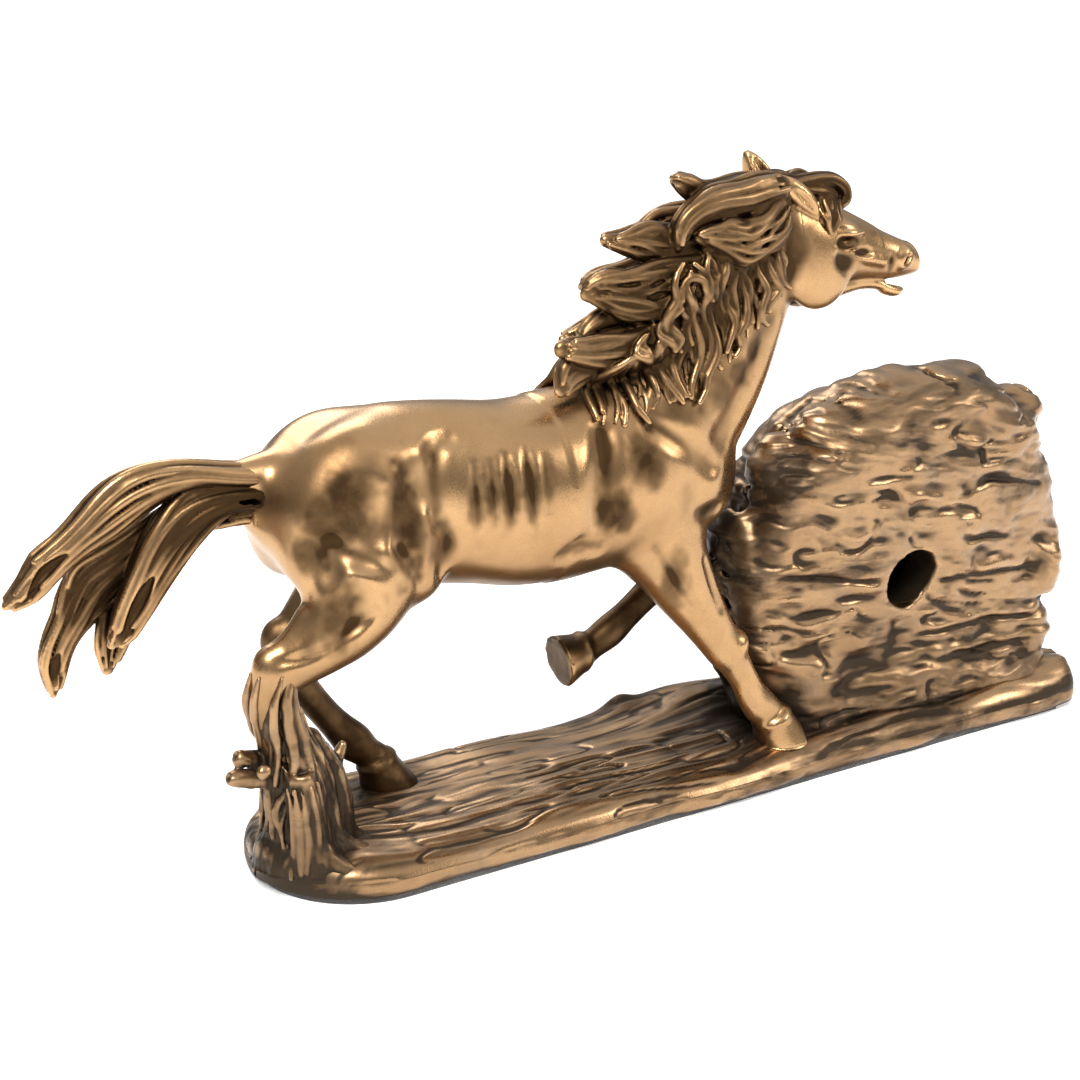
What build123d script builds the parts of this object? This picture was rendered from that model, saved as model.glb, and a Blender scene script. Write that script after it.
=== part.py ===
from build123d import *
import os
from math import cos, pi, radians, sin

# A running horse on a ground slab, beside a hollow log that holds a push-in quartz clock.
# Cold-cast bronze castings, cast in sections and pinned together. Millimetres.
# +X is the way the horse runs, +Z is up, +Y is the clock's dial side.
# The origin is on the felt underside, at the middle of the slab.

os.makedirs("parts", exist_ok=True)

# ---- driving dimensions: slab and castings --------------------------------
SLAB_LENGTH = 256.0
SLAB_WIDTH = 57.0
SLAB_TOP = 10.5
FELT_THICKNESS = 1.5
FELT_INSET = 2.0
PIN_RADIUS = 1.25
PIN_FOOT = 4.0
PIN_TOP = 17.0
NEAR_FORE_HOOF = (19.5, -18.0)
FAR_HIND_HOOF = (-84.0, 14.5)
STUMP = (-119.0, -7.0)

LOG_X = 66.0  # centre of the log, and of the clock
LOG_Z = 53.0
LOG_RADIUS = 55.0  # where the barrel is fattest
LOG_BACK_RADIUS = 49.0
LOG_FACE_RADIUS = 45.0
LOG_BACK = -22.0  # depths run along the clock's axis, from the log's centre
LOG_FAT = -5.0
LOG_FRONT = 18.0
LOG_FOOT_WIDTH = 96.0
LOG_FOOT_DEPTH = 42.0
LOG_FOOT_HEIGHT = 34.0
LOG_FOOT_SHIFT = 7.0  # the foot spreads towards the head end
DIAL_TILT = radians(9.0)  # the dial looks up a little
FINGER_HOLE_RADIUS = 8.6
FINGER_HOLE_SHIFT = 3.5  # towards the horse

# ---- driving dimensions: clock insert --------------------------------------
SEAT_RADIUS = 31.0
SEAT_END = -10.0
BEZEL_RADIUS = 37.0
BEZEL_SEAT = 15.0
BEZEL_GAP = 0.3
CAN_RADIUS = 30.0
CAN_WALL = 1.4
CAN_BACK = -6.0
FLANGE_THICKNESS = 0.5
DIAL_RADIUS = 33.6
DIAL_THICKNESS = 0.5
LENS_BACK = 18.8
LENS_THICKNESS = 0.8
BEZEL_LIP = 31.5
BEZEL_FRONT = 21.2
MOVEMENT_SIZE = 26.0
MOVEMENT_BACK = 3.5
MOVEMENT_WALL = 1.2
BATTERY_RADIUS = 5.8  # an LR44 button cell
BATTERY_LENGTH = 5.4
BATTERY_UP = 20.5
CONTACT_HEIGHT = 1.0
COVER_THICKNESS = 1.8
WELL_GAP = 0.2
KNOB_RADIUS = 4.5
STEM_RADIUS = 0.9
HOUR_TUBE = 1.6
CANNON_RADIUS = 0.9
SECONDS_RADIUS = 0.35
AXLE_RADIUS = 0.45
MINUTE_MODULE = 0.25
HOUR_MODULE = 0.24
HOUR_ANGLE = 304.0  # eight past ten
MINUTE_ANGLE = 48.0
SECOND_ANGLE = 180.0
GEAR_GAP = 6.0  # between the hand arbor and the motion wheel, and on to the knob
RUNNING_GAP = 0.06  # radial, for turning fits

AXIS = Vector(0, cos(DIAL_TILT), sin(DIAL_TILT))
CLOCK_CENTRE = Vector(LOG_X, 0, LOG_Z)
COVER_BACK = CAN_BACK - 0.2
WELL_FRONT = COVER_BACK + COVER_THICKNESS + BATTERY_LENGTH + CONTACT_HEIGHT
DIAL_FACE = BEZEL_SEAT + FLANGE_THICKNESS + DIAL_THICKNESS
TOP_PLANE = Plane.XY.offset(SLAB_TOP)


# ---- helpers ------------------------------------------------------------------
def clock_plane(depth, across=0.0, up=0.0):
    """A plane square to the clock's axis: x to the right as the dial is read, z out of the dial."""
    centre = CLOCK_CENTRE + AXIS * depth
    flat = Plane(origin=centre, x_dir=(-1, 0, 0), z_dir=AXIS)
    return Plane(origin=flat.from_local_coords((across, up, 0)), x_dir=(-1, 0, 0), z_dir=AXIS)


def save(piece, label):
    """Names one finished piece and writes it."""
    piece.part.label = label
    export_step(piece.part, f"parts/{label}.step")


def tapered(stations, width=1.0):
    """A smooth solid through oval sections (x, y, z, radius); width stretches each one along Y."""
    points = [Vector(*station[:3]) for station in stations]
    last = len(points) - 1
    with BuildPart() as limb:
        for index, station in enumerate(stations):
            along = (points[min(index + 1, last)] - points[max(index - 1, 0)]).normalized()
            sideways = (Vector(0, 1, 0) - along * along.Y).normalized()
            with BuildSketch(Plane(origin=points[index], x_dir=sideways, z_dir=along)):
                Ellipse(station[3] * width, station[3])
        loft()
    return limb.part


def disc(depth, radius, thickness, across=0.0, up=0.0):
    """A plain disc square to the clock's axis, with its back face at depth."""
    with BuildPart() as plate:
        with BuildSketch(clock_plane(depth, across, up)):
            Circle(radius)
        extrude(amount=thickness)
    return plate.part


def ring(depth, outer, inner, thickness, across=0.0, up=0.0):
    """A flat ring square to the clock's axis."""
    with BuildPart() as band:
        with BuildSketch(clock_plane(depth, across, up)):
            Circle(outer)
            Circle(inner, mode=Mode.SUBTRACT)
        extrude(amount=thickness)
    return band.part


def gear(depth, teeth, module, thickness, bore, across=0.0, start=0.0):
    """A spur wheel with slim straight-flanked teeth; start turns it, in degrees."""
    pitch_radius = module * teeth / 2
    pitch = 2 * pi / teeth
    root, tip = pitch_radius - 1.2 * module, pitch_radius + 0.8 * module
    outline = []
    for tooth in range(teeth):
        middle = radians(start) + tooth * pitch
        for radius, share in ((root, -0.27), (tip, -0.11), (tip, 0.11), (root, 0.27)):
            angle = middle + share * pitch
            outline.append((radius * cos(angle), radius * sin(angle)))
    with BuildPart() as wheel:
        with BuildSketch(clock_plane(depth, *across) if across else clock_plane(depth)):
            with BuildLine():
                Polyline(*outline, close=True)
            make_face()
            if bore:
                Circle(bore, mode=Mode.SUBTRACT)
        extrude(amount=thickness)
    return wheel.part


def union(*solids):
    """Several solids joined into one piece."""
    with BuildPart() as joined:
        for solid in solids:
            add(solid)
    return joined


def cut(solid, *tools):
    """A solid with others taken out of it."""
    with BuildPart() as trimmed:
        add(solid)
        for tool in tools:
            add(tool, mode=Mode.SUBTRACT)
    return trimmed


# ---- ground slab, felt and pins --------------------------------------------------
def slab_outline(inset=0.0):
    """The slab's plan: a half-round tail end and a blunt head end."""
    half = SLAB_WIDTH / 2 - inset
    left = SLAB_WIDTH / 2 - SLAB_LENGTH / 2
    right = SLAB_LENGTH / 2 - inset
    corner = 7.0
    with BuildSketch() as plan:
        with BuildLine():
            Polyline((left, half), (right - corner, half), (right, half - corner), (right, corner - half))
            Polyline((right, corner - half), (right - corner, -half), (left, -half))
            ThreePointArc((left, -half), (left - half, 0), (left, half))
        make_face()
    return plan.sketch


with BuildPart() as hoof_pins:
    with BuildSketch(Plane.XY.offset(PIN_FOOT)):
        with Locations(NEAR_FORE_HOOF, FAR_HIND_HOOF):
            Circle(PIN_RADIUS)
    extrude(amount=PIN_TOP - PIN_FOOT)

with BuildPart() as felt_pad:
    with BuildSketch():
        add(slab_outline(FELT_INSET))
    extrude(amount=FELT_THICKNESS)

with BuildPart() as base:
    with BuildSketch(Plane.XY.offset(FELT_THICKNESS)):
        add(slab_outline())
    extrude(amount=SLAB_TOP - FELT_THICKNESS)
    chamfer(base.faces().sort_by(Axis.Z)[-1].edges(), length=2.0)
    add(hoof_pins.part, mode=Mode.SUBTRACT)

# ---- hollow log -------------------------------------------------------------------
axial = Plane(origin=CLOCK_CENTRE, x_dir=(-1, 0, 0), z_dir=Vector(-1, 0, 0).cross(AXIS))
with BuildPart() as barrel:
    with BuildSketch(axial):
        with BuildLine():
            # out from the axis over the domed back, along the bulging bark, and in over the flat front
            ThreePointArc((0, LOG_BACK), (LOG_BACK_RADIUS / 2, LOG_BACK + 1.2), (LOG_BACK_RADIUS, LOG_BACK + 5))
            ThreePointArc((LOG_BACK_RADIUS, LOG_BACK + 5), (LOG_RADIUS, LOG_FAT), (LOG_FACE_RADIUS, LOG_FRONT))
            Polyline((LOG_FACE_RADIUS, LOG_FRONT), (0, LOG_FRONT), (0, LOG_BACK))
        make_face()
    revolve(axis=Axis(CLOCK_CENTRE, AXIS))

with BuildPart() as log_form:
    add(barrel.part)
    with BuildSketch(TOP_PLANE):
        with Locations((LOG_X + LOG_FOOT_SHIFT, -1)):
            RectangleRounded(LOG_FOOT_WIDTH, LOG_FOOT_DEPTH, 9)
    extrude(amount=LOG_FOOT_HEIGHT, taper=2)
    split(bisect_by=TOP_PLANE, keep=Keep.TOP)
    add(disc(SEAT_END, SEAT_RADIUS, 60), mode=Mode.SUBTRACT)
    add(disc(BEZEL_SEAT, BEZEL_RADIUS + BEZEL_GAP, 20), mode=Mode.SUBTRACT)
    add(disc(LOG_BACK - 9, FINGER_HOLE_RADIUS, 25, FINGER_HOLE_SHIFT), mode=Mode.SUBTRACT)

# ---- horse -------------------------------------------------------------------------
# trunk sections, from the buttocks to the breast: x, y, z, half width, half height
with BuildPart() as trunk:
    for x, y, z, half_width, half_height in (
        (-123, 4, 91, 5, 6),
        (-114, 3.5, 91, 14, 16),
        (-100, 2.5, 90, 19, 23),
        (-82, 1, 90, 19.5, 23.7),
        (-62, 0, 89, 19.5, 23.3),
        (-42, -1.5, 87.5, 19.5, 23.7),
        (-22, -3, 88, 18.5, 23),
        (-6, -4, 88, 16, 20),
        (4, -4.5, 86, 11, 13),
        (8, -5, 85, 4, 5),
    ):
        with BuildSketch(Plane(origin=(x, y, z), x_dir=(0, 1, 0), z_dir=(1, 0, 0))):
            Ellipse(half_width, half_height)
    loft()

# every tapered form below lists its sections as x, y, z, radius
neck = tapered(
    (
        (-17, -2.5, 92, 22),
        (-10, -3, 101, 21),
        (-1, -4, 114, 17.5),
        (8, -5, 127, 14.5),
        (17, -6, 138, 12.5),
        (24, -6.5, 147, 11),
    ),
    width=0.68,
)
head = tapered(
    (
        (20, -6.3, 148, 9),
        (30, -7, 147, 12),
        (41, -7.7, 144, 12),
        (50, -8.2, 140.5, 9.5),
        (60, -8.7, 136.5, 7.2),
        (68, -9, 134.2, 5),
    ),
    width=0.74,
)
ears = [tapered(((19, y, 151, 3.5), (16, y, 158, 2.6), (12.5, y, 168, 0.5))) for y in (-1.5, -10.5)]
horse_body = union(trunk.part, neck, head, *ears)

near_foreleg_form = tapered(
    (
        (-18, -9, 78, 12),
        (-15.5, -12, 68, 10.5),
        (-10.5, -14, 59, 8.2),
        (-5, -15.5, 50.5, 7),
        (1.2, -16.5, 42, 5.9),
        (5.5, -17, 35.5, 4.6),
        (8.8, -17.3, 29.5, 4.4),
        (12.3, -17.6, 23, 4.8),
        (16.5, -17.9, 18, 5.6),
        (*NEAR_FORE_HOOF, SLAB_TOP - 1, 7.6),
    )
)
near_foreleg = cut(near_foreleg_form.split(TOP_PLANE, keep=Keep.TOP), horse_body.part, hoof_pins.part)

far_forearm = tapered(((-14, 6, 81, 12.5), (-8, 7.6, 72, 10.2), (-2, 8.6, 65.5, 8), (5, 9, 59, 6), (8, 9, 56, 4.6)))
far_cannon = tapered(
    (
        (8.5, 9, 58.6, 4.4),
        (1, 8.8, 53.6, 4.9),
        (-7, 8.3, 48.8, 4.4),
        (-13, 8.1, 44.8, 4.3),
        (-19, 8.1, 41, 4.8),
        (-24.5, 8.3, 38.2, 4.8),
        (-30, 8.7, 36.2, 6.0),
        (-35.8, 9.2, 34.9, 7.2),
    )
)
far_foreleg_form = union(far_forearm, far_cannon)
far_foreleg = cut(far_foreleg_form.part, horse_body.part)

near_hindleg_form = tapered(
    (
        (-97, -9, 84, 14.5),
        (-99, -9.5, 75, 14),
        (-105, -9.7, 67, 11.4),
        (-112.5, -9.4, 61.5, 8.8),
        (-119.5, -8.6, 57, 7),
        (-124.4, -7.9, 50, 5.6),
        (-124, -7.5, 43, 4.9),
        (-122.6, -7.2, 36, 4.7),
        (-121.2, -7, 30, 4.4),
    )
)
near_hindleg = cut(near_hindleg_form, horse_body.part)

far_hindleg_form = tapered(
    (
        (-92, 11, 82, 13),
        (-94, 12.5, 71, 11.5),
        (-101, 14, 61, 8.4),
        (-107.5, 15, 52.5, 6.4),
        (-107, 15.3, 44, 5),
        (-102, 15.4, 36, 4.3),
        (-96, 15.2, 28.5, 4.6),
        (-90.5, 15, 22, 4.6),
        (-86.5, 14.7, 16.5, 5.8),
        (*FAR_HIND_HOOF, SLAB_TOP - 1, 7.4),
    )
)
far_hindleg = cut(far_hindleg_form.split(TOP_PLANE, keep=Keep.TOP), horse_body.part, hoof_pins.part)

log_housing = cut(log_form.part, near_foreleg.part, hoof_pins.part)

# ---- tree stump that carries the near hind leg --------------------------------------
stump_trunk = tapered(
    (
        (STUMP[0] + 1.5, STUMP[1], SLAB_TOP - 1, 12),
        (STUMP[0], STUMP[1], 18, 9.8),
        (STUMP[0] - 1, STUMP[1], 28, 8.4),
        (STUMP[0] - 3, STUMP[1], 38, 7.6),
    )
)
cut_branch = tapered(((-119, -11, SLAB_TOP + 3, 6.5), (-121, -14.5, 23, 5.6), (-123, -17.5, 33.5, 5)))
side_stubs = [
    tapered(((-121, -7, 24, 3.6), (-129, -8, 29, 3), (-137.5, -9, 33.5, 1.6))),
    tapered(((-121, -4, 27, 3.4), (-128, -4.5, 32, 2.8), (-134, -5, 37, 1.6))),
    tapered(((-118, -10, 22, 3.2), (-110.5, -12.5, 27, 2.4), (-107.5, -13.5, 30, 1.3))),
]
stump_form = union(stump_trunk, cut_branch, *side_stubs)
tree_stump = cut(stump_form.part.split(TOP_PLANE, keep=Keep.TOP), near_hindleg.part)

# ---- hair --------------------------------------------------------------------------
tail_locks = (
    ((-116, 4.5, 98, 5), (-128, 5, 99, 7), (-141, 5.5, 97.5, 10.5), (-153, 6, 92, 13), (-163, 7, 84, 12), (-171, 8, 72, 7), (-173.5, 8, 57.5, 1)),
    ((-146, 6, 97, 7), (-158, 7, 94.5, 7.5), (-169, 7.5, 87.5, 5), (-182, 8, 79.5, 1.2)),
    ((-140, 6, 92, 7), (-149, 6, 83, 6.5), (-155.5, 6, 72, 5), (-159, 6, 59.6, 1.2)),
)
tail_form = union(*[tapered(lock, width=0.9) for lock in tail_locks])
tail = cut(tail_form.part, horse_body.part)

mane_locks = (
    ((-36, 0, 114, 4), (-27, 0, 123.5, 8.5), (-15, -1.5, 135, 11), (-1, -3.5, 146, 11), (13, -5, 152.5, 8.5), (24, -6, 156, 4)),
    ((-22, -1, 128, 5), (-27, -0.5, 133.5, 4), (-33, 0, 138.6, 1)),
    ((-12, -2, 138, 6), (-19, -1.5, 143.5, 4.5), (-26.5, -1, 148, 1)),
    ((0, -4, 150, 6), (-4, -3.5, 157, 4), (-8.5, -3.5, 162.7, 1)),
    ((-14, -8, 130, 6), (-16, -10.5, 121, 5.5), (-19, -10, 110, 1.2)),
    ((0, -11, 136, 5.5), (1, -12.5, 126, 5), (-1, -12.5, 113, 1.2)),
)
mane_form = union(*[tapered(lock) for lock in mane_locks])
mane = cut(mane_form.part, horse_body.part)

forelock_form = tapered(((21, -6.5, 156, 4), (29, -7, 159, 4.5), (37, -7.5, 158.8, 3), (44.5, -8, 156, 1)))
forelock = cut(forelock_form, horse_body.part, mane.part)

# ---- clock: can, seal, bezel, glass and dial ------------------------------------------
with BuildPart() as insert_can:
    add(disc(CAN_BACK, CAN_RADIUS, BEZEL_SEAT - CAN_BACK))
    add(disc(BEZEL_SEAT, DIAL_RADIUS, FLANGE_THICKNESS))
    add(disc(CAN_BACK + CAN_WALL, CAN_RADIUS - CAN_WALL, 40), mode=Mode.SUBTRACT)
    add(disc(CAN_BACK + CAN_WALL, BATTERY_RADIUS + 1.2, WELL_FRONT + 1 - CAN_BACK - CAN_WALL, 0, BATTERY_UP))
    add(disc(CAN_BACK - 1, BATTERY_RADIUS + WELL_GAP, WELL_FRONT + 1 - CAN_BACK, 0, BATTERY_UP), mode=Mode.SUBTRACT)
    add(disc(CAN_BACK - 1, STEM_RADIUS + RUNNING_GAP, 4, GEAR_GAP, -GEAR_GAP), mode=Mode.SUBTRACT)

gasket_band = union(ring(1.0, SEAT_RADIUS - 0.15, CAN_RADIUS, 5.0))

with BuildPart() as bezel:
    with BuildSketch(axial):
        with BuildLine():
            rim = (BEZEL_RADIUS, BEZEL_SEAT + 2.2)
            Polyline((DIAL_RADIUS + 0.2, BEZEL_SEAT), (BEZEL_RADIUS, BEZEL_SEAT), rim)
            ThreePointArc(rim, (BEZEL_RADIUS - 1.4, BEZEL_FRONT - 1.0), (BEZEL_RADIUS - 3.5, BEZEL_FRONT))
            lip = (BEZEL_LIP, LENS_BACK + LENS_THICKNESS)
            Polyline((BEZEL_RADIUS - 3.5, BEZEL_FRONT), lip, (DIAL_RADIUS + 0.2, lip[1]), (DIAL_RADIUS + 0.2, BEZEL_SEAT))
        make_face()
    revolve(axis=Axis(CLOCK_CENTRE, AXIS))

lens = union(disc(LENS_BACK, DIAL_RADIUS, LENS_THICKNESS))
dial = union(ring(DIAL_FACE - DIAL_THICKNESS, DIAL_RADIUS, HOUR_TUBE + 0.2, DIAL_THICKNESS))
spacer_ring = union(ring(DIAL_FACE, DIAL_RADIUS, DIAL_RADIUS - 1.6, LENS_BACK - DIAL_FACE))

with BuildPart() as hour_markers:
    with BuildSketch(clock_plane(DIAL_FACE)):
        for hour in range(12):
            with Locations(Rot(0, 0, 30 * hour) * Pos(0, 26.5)):
                Rectangle(1.6 if hour % 3 == 0 else 0.9, 6.0 if hour % 3 == 0 else 4.0)
    extrude(amount=0.3)

# ---- clock: quartz movement --------------------------------------------------------------
half_inside = MOVEMENT_SIZE / 2 - MOVEMENT_WALL
case_front = DIAL_FACE - DIAL_THICKNESS
with BuildPart() as movement_case:
    with BuildSketch(clock_plane(MOVEMENT_BACK + MOVEMENT_WALL)):
        RectangleRounded(MOVEMENT_SIZE, MOVEMENT_SIZE, 2.5)
    extrude(amount=case_front - MOVEMENT_BACK - MOVEMENT_WALL)
    with BuildSketch(clock_plane(MOVEMENT_BACK)):
        RectangleRounded(2 * half_inside, 2 * half_inside, 1.5)
    extrude(amount=case_front - MOVEMENT_BACK - MOVEMENT_WALL, mode=Mode.SUBTRACT)
    add(disc(0, HOUR_TUBE + RUNNING_GAP, 20), mode=Mode.SUBTRACT)
    add(disc(0, AXLE_RADIUS + RUNNING_GAP, case_front - 0.5, GEAR_GAP, 0), mode=Mode.SUBTRACT)

with BuildPart() as movement_cover:
    with BuildSketch(clock_plane(MOVEMENT_BACK)):
        RectangleRounded(MOVEMENT_SIZE, MOVEMENT_SIZE, 2.5)
    extrude(amount=MOVEMENT_WALL)
    add(disc(0, SECONDS_RADIUS + RUNNING_GAP, 20), mode=Mode.SUBTRACT)
    add(disc(0, AXLE_RADIUS + RUNNING_GAP, 20, GEAR_GAP, 0), mode=Mode.SUBTRACT)
    add(disc(0, STEM_RADIUS + RUNNING_GAP, 20, GEAR_GAP, -GEAR_GAP), mode=Mode.SUBTRACT)

coil_plane = Plane(origin=clock_plane(8.5, -4.5, -9).origin, x_dir=AXIS, z_dir=(1, 0, 0))
with BuildPart() as drive_coil:
    with BuildSketch(coil_plane):
        Circle(2.2)
    extrude(amount=5.5, both=True)

with BuildPart() as circuit_board:
    with BuildSketch(clock_plane(5.2, 0, 8.3)):
        RectangleRounded(21, 6, 0.8)
    extrude(amount=0.8)

# motion works: hand arbor, motion wheel and hour wheel, 12:36 then 10:40
cannon_wheel = cut(
    union(
        gear(9.5, 12, MINUTE_MODULE, 1.0, 0, start=0),
        disc(9.0, CANNON_RADIUS, 17.7 - 9.0),
    ).part,
    disc(0, SECONDS_RADIUS + RUNNING_GAP, 30),
)
hour_wheel = cut(
    union(
        gear(11.2, 40, HOUR_MODULE, 1.0, 0, start=0),
        disc(11.2, HOUR_TUBE, 17.1 - 11.2),
    ).part,
    disc(0, CANNON_RADIUS + RUNNING_GAP, 30),
)
motion_wheel = union(
    gear(9.5, 36, MINUTE_MODULE, 1.0, 0, across=(GEAR_GAP, 0), start=5),
    gear(10.5, 10, HOUR_MODULE, 2.0, 0, across=(GEAR_GAP, 0), start=18),
    disc(MOVEMENT_BACK + 0.2, AXLE_RADIUS, case_front - 0.7 - MOVEMENT_BACK, GEAR_GAP, 0),
)
setting_knob = union(
    gear(9.4, 12, MINUTE_MODULE, 1.2, 0, across=(GEAR_GAP, -GEAR_GAP), start=0),
    disc(CAN_BACK - 0.4, STEM_RADIUS, 9.4 + 0.4 - CAN_BACK, GEAR_GAP, -GEAR_GAP),
    gear(CAN_BACK - 2.8, 24, 2 * KNOB_RADIUS / 25.6, 2.4, 0, across=(GEAR_GAP, -GEAR_GAP), start=0),
)
seconds_arbor = union(
    disc(MOVEMENT_BACK + 0.2, SECONDS_RADIUS, 18.2 - MOVEMENT_BACK - 0.2),
    gear(6.6, 30, 0.26, 0.7, 0, start=0),
)


def hand(depth, length, tail_length, root_width, tip_width, hub, bore, thickness, angle):
    """A tapering clock hand with a round hub; angle is clockwise from twelve, in degrees."""
    with BuildPart() as blade:
        with BuildSketch(clock_plane(depth)):
            with Locations(Rot(0, 0, -angle)):
                Polygon(
                    (-root_width / 2, -tail_length),
                    (root_width / 2, -tail_length),
                    (tip_width / 2, length),
                    (-tip_width / 2, length),
                    align=None,
                )
            Circle(hub)
            Circle(bore, mode=Mode.SUBTRACT)
        extrude(amount=thickness)
    return blade


hour_hand = hand(16.8, 15, 0, 2.4, 1.0, 3.0, HOUR_TUBE, 0.3, HOUR_ANGLE)
minute_hand = hand(17.4, 23, 0, 1.9, 0.7, 2.4, CANNON_RADIUS, 0.3, MINUTE_ANGLE)
second_hand = hand(17.95, 25, 7, 0.7, 0.4, 1.4, SECONDS_RADIUS, 0.25, SECOND_ANGLE)

# ---- clock: battery, its spring contact and its twist cover -------------------------------
cover_front = COVER_BACK + COVER_THICKNESS
battery = union(disc(cover_front, BATTERY_RADIUS, BATTERY_LENGTH, 0, BATTERY_UP))
battery_contact = union(disc(cover_front + BATTERY_LENGTH, 3.5, CONTACT_HEIGHT, 0, BATTERY_UP))
with BuildPart() as battery_cover:
    add(disc(COVER_BACK, BATTERY_RADIUS + WELL_GAP - RUNNING_GAP, COVER_THICKNESS, 0, BATTERY_UP))
    with BuildSketch(clock_plane(COVER_BACK, 0, BATTERY_UP)):
        SlotOverall(8, 1.2)
    extrude(amount=0.9, mode=Mode.SUBTRACT)

pieces = {
    "base": base,
    "felt_pad": felt_pad,
    "hoof_pins": hoof_pins,
    "log_housing": log_housing,
    "tree_stump": tree_stump,
    "horse_body": horse_body,
    "near_foreleg": near_foreleg,
    "far_foreleg": far_foreleg,
    "near_hindleg": near_hindleg,
    "far_hindleg": far_hindleg,
    "tail": tail,
    "mane": mane,
    "forelock": forelock,
    "insert_can": insert_can,
    "gasket_band": gasket_band,
    "bezel": bezel,
    "lens": lens,
    "dial": dial,
    "spacer_ring": spacer_ring,
    "hour_markers": hour_markers,
    "movement_case": movement_case,
    "movement_cover": movement_cover,
    "drive_coil": drive_coil,
    "circuit_board": circuit_board,
    "cannon_wheel": cannon_wheel,
    "hour_wheel": hour_wheel,
    "motion_wheel": motion_wheel,
    "setting_knob": setting_knob,
    "seconds_arbor": seconds_arbor,
    "hour_hand": hour_hand,
    "minute_hand": minute_hand,
    "second_hand": second_hand,
    "battery": battery,
    "battery_contact": battery_contact,
    "battery_cover": battery_cover,
}
for label, piece in pieces.items():
    save(piece, label)
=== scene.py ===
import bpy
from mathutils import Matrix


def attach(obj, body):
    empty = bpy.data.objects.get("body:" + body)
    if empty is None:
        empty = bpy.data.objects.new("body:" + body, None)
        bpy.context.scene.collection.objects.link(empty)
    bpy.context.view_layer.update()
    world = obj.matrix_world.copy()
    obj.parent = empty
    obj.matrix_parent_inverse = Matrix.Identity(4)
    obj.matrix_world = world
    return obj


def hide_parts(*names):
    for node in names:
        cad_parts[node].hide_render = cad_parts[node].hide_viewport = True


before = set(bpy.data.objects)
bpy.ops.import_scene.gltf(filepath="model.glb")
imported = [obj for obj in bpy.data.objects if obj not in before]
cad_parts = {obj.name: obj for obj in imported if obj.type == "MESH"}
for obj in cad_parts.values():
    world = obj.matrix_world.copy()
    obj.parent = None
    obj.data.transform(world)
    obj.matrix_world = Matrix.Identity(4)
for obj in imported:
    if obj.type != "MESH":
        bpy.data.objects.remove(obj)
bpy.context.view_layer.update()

import copy
import math

import bpy
import numpy as np
from mathutils import Vector

MM = 0.001
FAR = 6.0  # fields hold distances up to this, in mm
NEAR_SIDE, FAR_SIDE = -1, 1  # the signs of Y on the two sides of the horse


def fineness(full):
    return full


# ---------------------------------------------------------------- sculpting tools
def smooth_path(points, per_span=6):
    """Catmull-Rom samples along rows of numbers, so position and radius flow together."""
    p = np.array(points, float)
    p = np.vstack([2 * p[0] - p[1], p, 2 * p[-1] - p[-2]])
    out = []
    t = np.linspace(0, 1, per_span, endpoint=False)[:, None]
    for i in range(1, len(p) - 2):
        a, b, c, d = p[i - 1], p[i], p[i + 1], p[i + 2]
        square, cube = 2 * a - 5 * b + 4 * c - d, 3 * b - a - 3 * c + d
        out.append(0.5 * (2 * b + (c - a) * t + square * t**2 + cube * t**3))
    out.append(p[-2][None])
    return np.vstack(out)


def ramp(x, xs, ys):
    """Smooth interpolation of ys over xs, held at both ends."""
    xs, ys = np.array(xs, float), np.array(ys, float)
    slope = np.gradient(ys, xs)
    x = np.clip(x, xs[0], xs[-1])
    i = np.clip(np.searchsorted(xs, x) - 1, 0, len(xs) - 2)
    h = xs[i + 1] - xs[i]
    t = (x - xs[i]) / h
    ends = ys[i] * (1 + 2 * t) * (1 - t) ** 2 + ys[i + 1] * t * t * (3 - 2 * t)
    return ends + h * slope[i] * t * (1 - t) ** 2 + h * slope[i + 1] * t * t * (t - 1)


def hash_grid(ix, iy, iz, seed):
    """A repeatable random number from 0 to 1 at each whole-number point."""
    n = ix * 374761393 + iy * 668265263 + iz * 2147483647 + seed * 974634777
    n = (n ^ (n >> 13)) * 1274126177
    n = n ^ (n >> 16)
    return (n & 0xFFFF).astype(np.float32) / 65535.0


def noise(x, y, z, seed=0):
    """Smooth value noise from -1 to 1 with features about one unit across."""
    x, y, z = np.broadcast_arrays(x, y, z)
    fx, fy, fz = np.floor(x), np.floor(y), np.floor(z)
    ix, iy, iz = fx.astype(np.int64), fy.astype(np.int64), fz.astype(np.int64)
    near_far = [(1 - t * t * (3 - 2 * t), t * t * (3 - 2 * t)) for t in (x - fx, y - fy, z - fz)]
    total = 0
    for dx, dy, dz in np.ndindex(2, 2, 2):
        weight = near_far[0][dx] * near_far[1][dy] * near_far[2][dz]
        total = total + weight * hash_grid(ix + dx, iy + dy, iz + dz, seed)
    return 2 * total - 1


def smooth_max(a, b, soft):
    """The larger of two arrays of distances, rounded over where they differ by less than soft."""
    h = np.maximum(soft - np.abs(a - b), 0) / soft
    return np.maximum(a, b) + h * h * (soft / 4)


def averaged(grid, reach):
    """A grid of numbers averaged over reach cells each way, along every axis in turn."""
    for axis in range(grid.ndim):
        pad = [(0, 0)] * grid.ndim
        pad[axis] = (reach + 1, reach)
        run = np.moveaxis(np.cumsum(np.pad(grid, pad, mode="edge"), axis=axis), axis, 0)
        grid = np.moveaxis(run[2 * reach + 1 :] - run[: -2 * reach - 1], 0, axis) / (2 * reach + 1)
    return grid


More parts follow.
